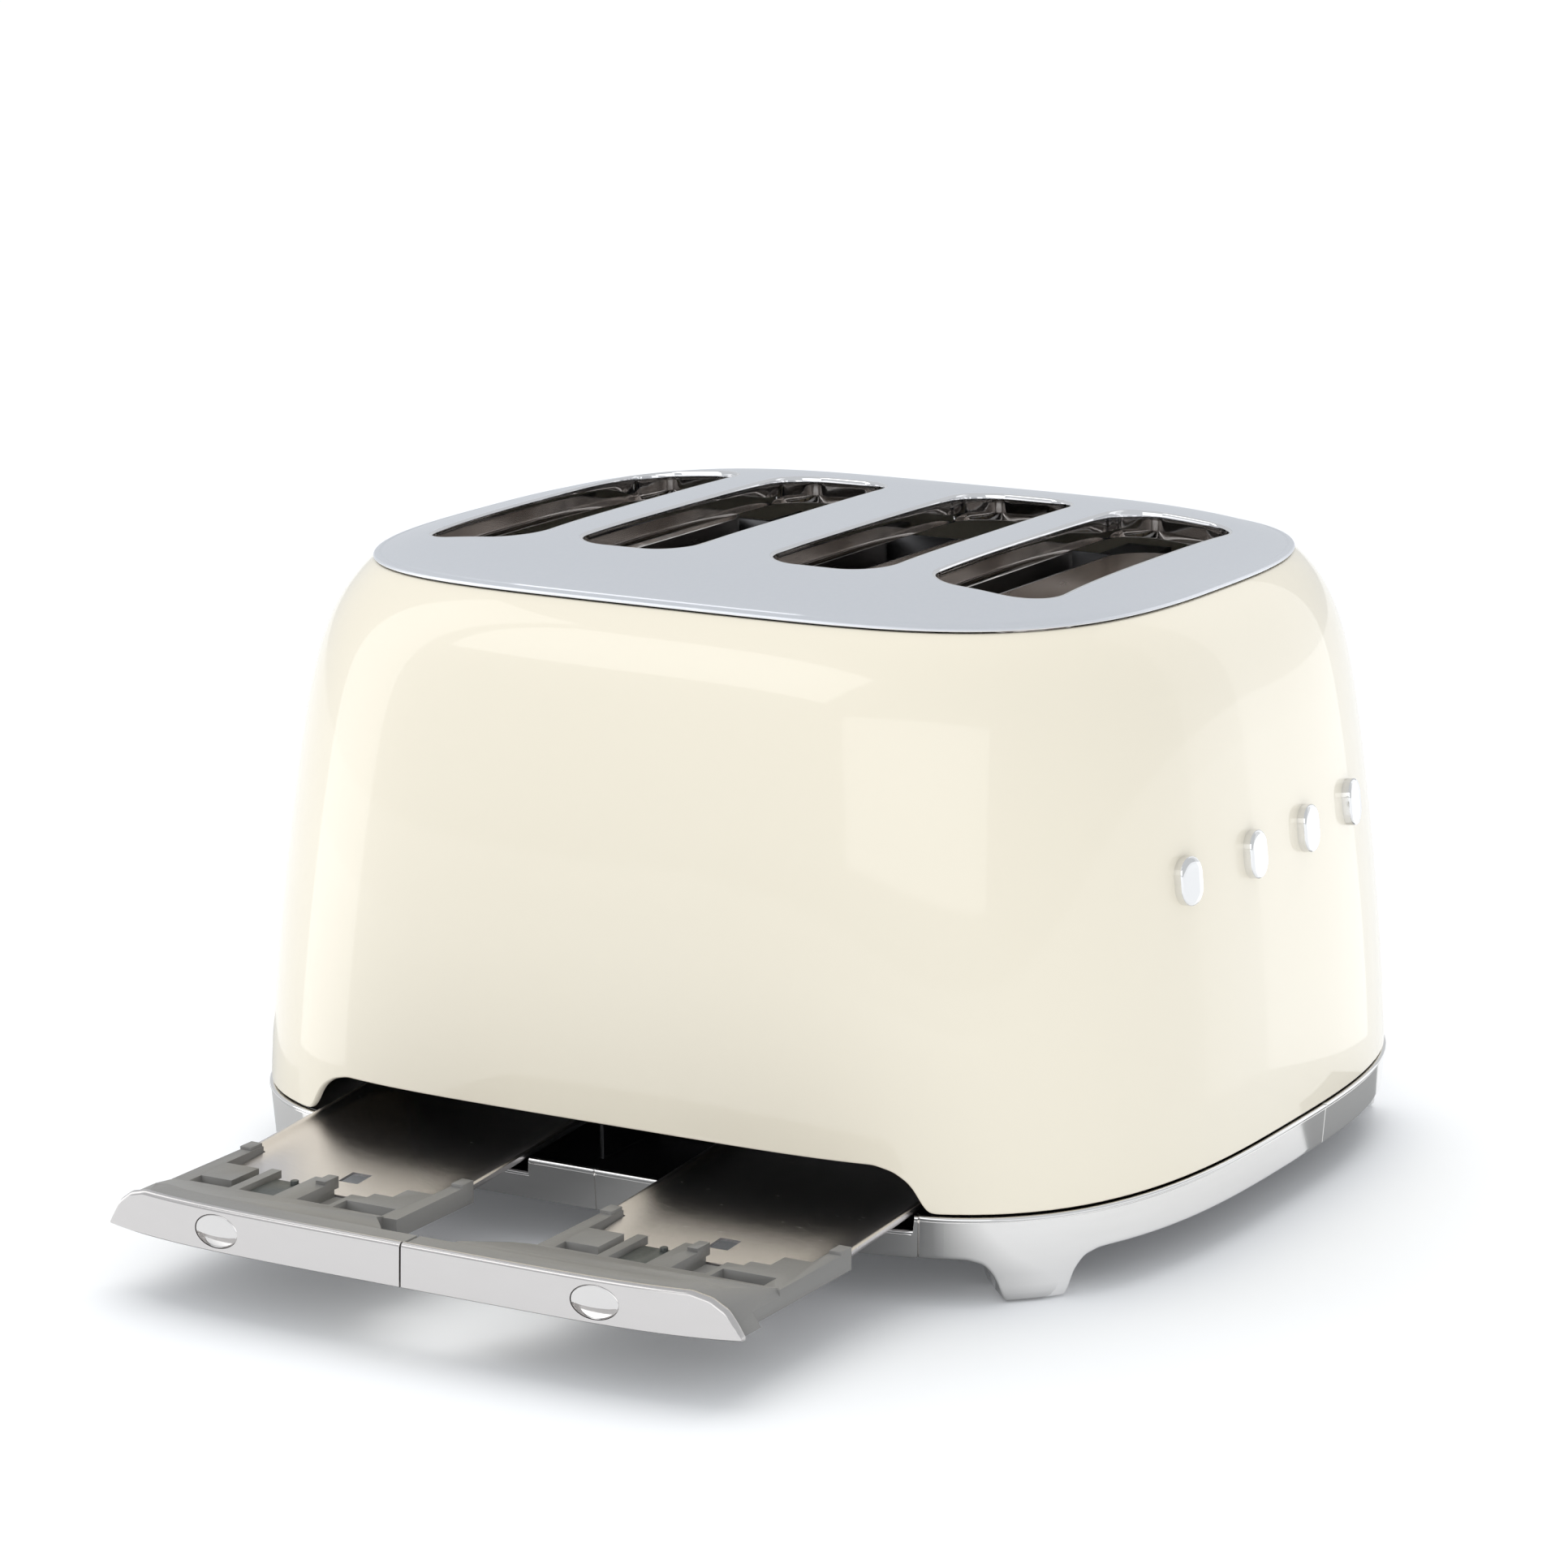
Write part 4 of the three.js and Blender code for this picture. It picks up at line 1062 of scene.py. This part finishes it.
def mica():
    """Flecked mica board."""
    made, nodes, links, shader = material("heater_mica")
    vector = coordinates(nodes, links, (1, 0.4, 3))
    flecks = noise(nodes, links, vector, 240.0, 5.0)
    brown = tinted(nodes, links, flecks, (0.30, 0.24, 0.16), (0.5, 0.42, 0.3))
    links.new(brown, shader.inputs["Base Color"])
    links.new(spread(nodes, links, flecks, 0.45, 0.7), shader.inputs["Roughness"])
    bumped(nodes, links, shader, flecks, 0.2, 0.0002)
    return made


# name: darker and lighter tone, roughness from and to, size of the grain, its stretch, bump
METALS = {
    "satin_steel": ((0.82, 0.84, 0.88), (0.86, 0.875, 0.91), (0.42, 0.50), 700, (1, 1, 1), 0.05),
    "rim_chrome": ((0.78, 0.78, 0.79), (0.82, 0.82, 0.83), (0.04, 0.08), 30),
    "base_chrome": ((0.80, 0.79, 0.78), (0.84, 0.83, 0.82), (0.06, 0.10), 40, (1, 1, 8)),
    "fascia_chrome": ((0.60, 0.58, 0.57), (0.64, 0.62, 0.61), (0.20, 0.26), 90, (1, 1, 12)),
    "knob_chrome": ((0.80, 0.80, 0.80), (0.83, 0.83, 0.83), (0.05, 0.09), 40),
    "bezel_chrome": ((0.76, 0.76, 0.77), (0.80, 0.80, 0.81), (0.08, 0.12), 40),
    "button_chrome": ((0.66, 0.645, 0.635), (0.70, 0.685, 0.675), (0.12, 0.17), 40),
    "brushed_tray_steel": ((0.66, 0.63, 0.63), (0.78, 0.75, 0.75), (0.20, 0.30), 260, (1, 6, 1), 0.12),
    "dark_steel": ((0.10, 0.10, 0.105), (0.15, 0.15, 0.155), (0.35, 0.5), 70),
    "liner_steel": ((0.56, 0.52, 0.49), (0.64, 0.60, 0.57), (0.22, 0.30), 60, (1, 1, 6)),
    "carriage_steel": ((0.28, 0.27, 0.26), (0.36, 0.35, 0.34), (0.3, 0.42), 60),
    "rod_steel": ((0.6, 0.59, 0.58), (0.68, 0.67, 0.66), (0.15, 0.24), 60),
    "spring_wire": ((0.5, 0.49, 0.47), (0.6, 0.59, 0.57), (0.2, 0.3), 90),
    "guard_wire": ((0.42, 0.40, 0.38), (0.54, 0.52, 0.50), (0.22, 0.34), 80),
    "magnet_iron": ((0.22, 0.16, 0.12), (0.34, 0.22, 0.15), (0.3, 0.45), 80),
}
# name: darker and lighter tone, roughness from and to, bump
PLASTICS = {
    "grey_plastic": ((0.225, 0.22, 0.212), (0.245, 0.24, 0.23), (0.42, 0.52)),
    "dark_plastic": ((0.022, 0.023, 0.022), (0.032, 0.033, 0.031), (0.35, 0.5)),
    "latch_plastic": ((0.055, 0.062, 0.058), (0.075, 0.082, 0.076), (0.35, 0.5)),
    "pad_rubber": ((0.014, 0.014, 0.014), (0.022, 0.022, 0.022), (0.7, 0.85), 0.3),
    "circuit_board": ((0.02, 0.10, 0.05), (0.03, 0.14, 0.07), (0.4, 0.55), 0.05),
}
SKINS = {"cream_enamel": enamel(), "heater_mica": mica()}
SKINS.update((name, metal(name, *look)) for name, look in METALS.items())
SKINS.update((name, plastic(name, *look)) for name, look in PLASTICS.items())


def dress(piece, body, skin, *nodes, slot=None):
    """Gives a finished piece its material and its body, and hides the CAD nodes it stands for."""
    piece.data.materials.clear()
    piece.data.materials.append(SKINS[skin])
    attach(piece, body)
    if nodes:
        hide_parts(*nodes)
    return piece


def stand_in(name, node, width, body, skin):
    """A refined copy of a CAD node, dressed and standing for it."""
    dress(refined(name, node, width), body, skin, node)


# ---- pieces ----
dress(shell_object(), "chassis", "cream_enamel", "body_shell")
plate = dress(plate_object(), "chassis", "satin_steel", "top_plate")
plate.data.materials.append(SKINS["rim_chrome"])
dress(skirt_object(), "chassis", "base_chrome", "base_skirt")

for label, side in SIDES:
    tray = f"tray_{label}"
    release = f"tray_release_{label}"
    dress(fascia_object(f"fascia_{label}", side), tray, "fascia_chrome", f"tray_fascia_{label}")
    dress(crumb_tray_object(f"sheet_{label}", side), tray, "brushed_tray_steel", f"crumb_tray_{label}")
    stand_in(f"frame_{label}", f"tray_frame_{label}", 0.35, tray, "grey_plastic")
    button = tray_button_object(f"push_{label}", side)
    dress(button, release, "button_chrome", f"tray_button_{label}")
    # The dark second material paints shade under the button's ledge.
    button.data.materials.append(SKINS["dark_plastic"])
    for place, at in SLOTS:
        slot = f"{label}_{place}"
        middle = side * at
        dress(slot_lip(f"slot_lip_{slot}", middle), "chassis", "rim_chrome", slot="satin_steel")
        dress(liner_object(f"liner_{slot}", middle), "chassis", "liner_steel", f"slot_liner_{slot}")

    lift = f"lift_{label}"
    dress(lever_knob_object(f"lever_{label}", side), lift, "knob_chrome", f"lever_knob_{label}")
    stand_in(f"slide_{label}", f"carriage_{label}", 0.3, lift, "carriage_steel")
    dress(lever_guide_object(f"guide_{label}", side), "chassis", "bezel_chrome", f"lever_guide_{label}")
    dress(rod_object(f"rod_{label}", side), "chassis", "rod_steel", f"guide_rod_{label}")
    spring = spring_object(f"spring_{label}", side)
    dress(spring, "chassis", "spring_wire", f"return_spring_{label}")
    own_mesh(spring)
    dial = f"browning_{label}"
    dress(browning_knob_object(f"dial_{label}", side), dial, "knob_chrome", f"browning_knob_{label}")
    dress(pointer_object(f"pointer_{label}", side), dial, "dark_plastic")
    dress(dial_marks(f"marks_{label}", side), "chassis", "dark_plastic")
    stand_in(f"catch_{label}", f"tray_latch_{label}", 0.3, release, "latch_plastic")
    stand_in(f"coil_{label}", f"magnet_{label}", 0.6, "chassis", "magnet_iron")
    for i, z in enumerate(BUTTON_ZS, 1):
        node = f"button_{label}_{i}"
        dress(push_button_object(f"cap_{label}_{i}", side * BUTTON_X, z), node, "button_chrome", node)
        dress(button_bezel(f"ring_{label}_{i}", side * BUTTON_X, z), "chassis", "bezel_chrome")
    for end, depth in (("front", -PAD_Y), ("rear", PAD_Y)):
        pad = pad_object(f"pad_{end}_{label}", side * PAD_X, depth)
        dress(pad, "chassis", "pad_rubber", f"foot_pad_{end}_{label}")
    for place, at in SLOTS:
        for letter, inward in (("a", 1), ("b", -1)):
            node = f"bread_guard_{label}_{place}_{letter}"
            cage = guard_object(f"cage_{label}_{place}_{letter}", side * at - inward * GUARD_X)
            dress(cage, node, "guard_wire", node)
    for place, at in HEATERS:
        board = f"heater_board_{label}_{place}"
        stand_in(f"mica_{label}_{place}", board, 0.2, "chassis", "heater_mica")
        dress(winding_object(f"winding_{label}_{place}", side * at), "chassis", "rod_steel")

dress(gland_object(), "chassis", "dark_plastic", "cord_gland")
stand_in("pan", "base_pan", 0.4, "chassis", "dark_steel")
stand_in("end_front", "end_plate_front", 0.3, "chassis", "dark_steel")
stand_in("end_rear", "end_plate_rear", 0.3, "chassis", "dark_steel")
stand_in("board", "control_board", 0.3, "chassis", "circuit_board")
for i, (y, z) in enumerate(STUDS, 1):
    dress(stud_object(f"stud_{i}", y, z), "chassis", "knob_chrome")


# ---- floor, light and camera ----
def matt(name):
    """A matt material that gives off a trace of light, as a lit studio floor does."""
    made, nodes, links, shader = material(name)
    preset(shader, Roughness=0.9, Specular_IOR_Level=0.0)
    preset(shader, Emission_Color=(0.95, 0.97, 1.0, 1), Emission_Strength=0.08)
    return made, nodes, links, shader


def staged(name, corners, height, skin):
    """A flat piece of the studio, from its corners in mm."""
    plane = mesh_object(name, [(x, y, height) for x, y in corners], [tuple(range(len(corners)))])
    plane.data.materials.append(skin)
    return plane


def painted_reflection_card(name, corners, tone, far_tone, fade):
    """A dark card on the floor that only shows in the base's reflections, where it is a painted reflection
    of shade; its tone fades along x.
    """
    skin, nodes, links, shader = matt(name)
    parts = nodes.new("ShaderNodeSeparateXYZ")
    links.new(coordinates(nodes, links), parts.inputs["Vector"])
    share = nodes.new("ShaderNodeMapRange")
    preset(share, From_Min=fade[0] / 1000, From_Max=fade[1] / 1000)
    links.new(parts.outputs["X"], share.inputs["Value"])
    first = (tone, tone * 1.02, tone * 1.03)
    second = (far_tone, far_tone * 1.01, far_tone * 1.025)
    links.new(tinted(nodes, links, share.outputs["Result"], first, second), shader.inputs["Base Color"])
    card = staged(name, corners, 0, skin)
    card.visible_camera = False
    card.visible_diffuse = False
    card.visible_shadow = False


FLOOR_SIZE = 14000
floor_skin, _, _, floor_shader = matt("floor")
preset(floor_shader, Base_Color=(0.93, 0.94, 0.955, 1))
floor_corners = [(x * FLOOR_SIZE, y * FLOOR_SIZE) for x, y in ((-1, -1), (1, -1), (1, 1), (-1, 1))]
staged("floor", floor_corners, -0.2, floor_skin)
# Painted reflections: the mouth card paints the shaded floor under the trays into the base's chrome, and
# the corner and side cards paint darker reflections into it at the left front and at the right.
mouth_corners = ((-118, -262), (165, -262), (165, -118), (-118, -118))
painted_reflection_card("mouth_shade_card", mouth_corners, 0.24, 0.93, (114, 155))
corner_corners = ((-290, -150), (-152, -150), (-152, 10), (-290, 10))
painted_reflection_card("corner_dark_reflection_card", corner_corners, 0.5, 0.5, (-290, -152))
side_corners = ((163, 28), (211, 112), (211, 160), (150, 160), (150, 110))
painted_reflection_card("side_dark_reflection_card", side_corners, 0.32, 0.32, (150, 211))


def area_light(name, place, aim, size, power, lights_surfaces=True, reflects=True):
    """A rectangular lamp that the camera doesn't see, in metres."""
    lamp = bpy.data.lights.new(name, "AREA")
    lamp.shape = "RECTANGLE"
    lamp.size, lamp.size_y = size
    lamp.energy = power
    piece = placed(name, lamp)
    piece.location = place
    piece.rotation_euler = (Vector(aim) - Vector(place)).to_track_quat("-Z", "Y").to_euler()
    piece.visible_camera = False
    piece.visible_diffuse = lights_surfaces
    piece.visible_glossy = reflects


def strip(name, start, end, height, radiance):
    """An upright panel that only shows in reflections, between two points on the floor in mm."""
    start = Vector(metres((*start, 0)))
    end = Vector(metres((*end, 0)))
    middle = (start + end) / 2 + Vector((0, 0, height / 2))
    across = (end - start).normalized()
    facing = Vector((-across.y, across.x, 0))
    if facing.dot(middle) > 0:
        facing = -facing
    width = (end - start).length
    power = radiance * math.pi * width * height
    area_light(name, middle, middle + facing, (width, height), power, lights_surfaces=False)


key = bpy.data.lights.new("key", "SUN")
key.energy = 1.25
key.angle = math.radians(60)
key.color = (1.0, 0.985, 0.965)
key_piece = placed("key", key)
key_piece.rotation_euler = Vector((0.25, -0.4, -1.0)).to_track_quat("-Z", "Y").to_euler()
key_piece.visible_glossy = False
area_light("front_softbox", (0.55, -2.0, 0.75), (0, -0.1, 0.1), (2.2, 1.1), 7)
area_light("front_top", (-1.1, -1.6, 1.9), (0, -0.15, 0.05), (1.2, 0.9), 4.5, lights_surfaces=False)
area_light("left_fill", (-1.5, -0.75, 0.62), (0, 0, 0.12), (0.7, 1.2), 2.2, reflects=False)
area_light("right_fill", (1.3, 1.5, 0.62), (0, 0, 0.12), (0.6, 1.2), 0.8, reflects=False)
strip("left_strip", (-291, -275), (-346, -158), 0.6, 1.1)
strip("right_strip", (178, 217), (252, 161), 0.45, 0.5)
strip("right_edge", (252, 161), (290, 100), 0.45, 0.2)

world = bpy.data.worlds.new("world")
bpy.context.scene.world = world
world.use_nodes = True
background = world.node_tree.nodes["Background"]
preset(background, Color=(0.95, 0.975, 1.0, 1), Strength=0.70)
bpy.context.scene.view_settings.view_transform = "Standard"

azimuth = math.radians(29.79)
elevation = math.radians(12.86)
distance = 1.64513
target = Vector((-0.01137, 0.02999, 0.11772))
back = Vector((
    math.sin(azimuth) * math.cos(elevation),
    -math.cos(azimuth) * math.cos(elevation),
    math.sin(elevation),
))
lens = bpy.data.cameras.new("camera")
lens.lens = 117.92
lens.sensor_width = 36
lens.clip_end = 50
camera = placed("camera", lens)
camera.location = target + back * distance
camera.rotation_euler = (-back).to_track_quat("-Z", "Y").to_euler()
bpy.context.scene.camera = camera
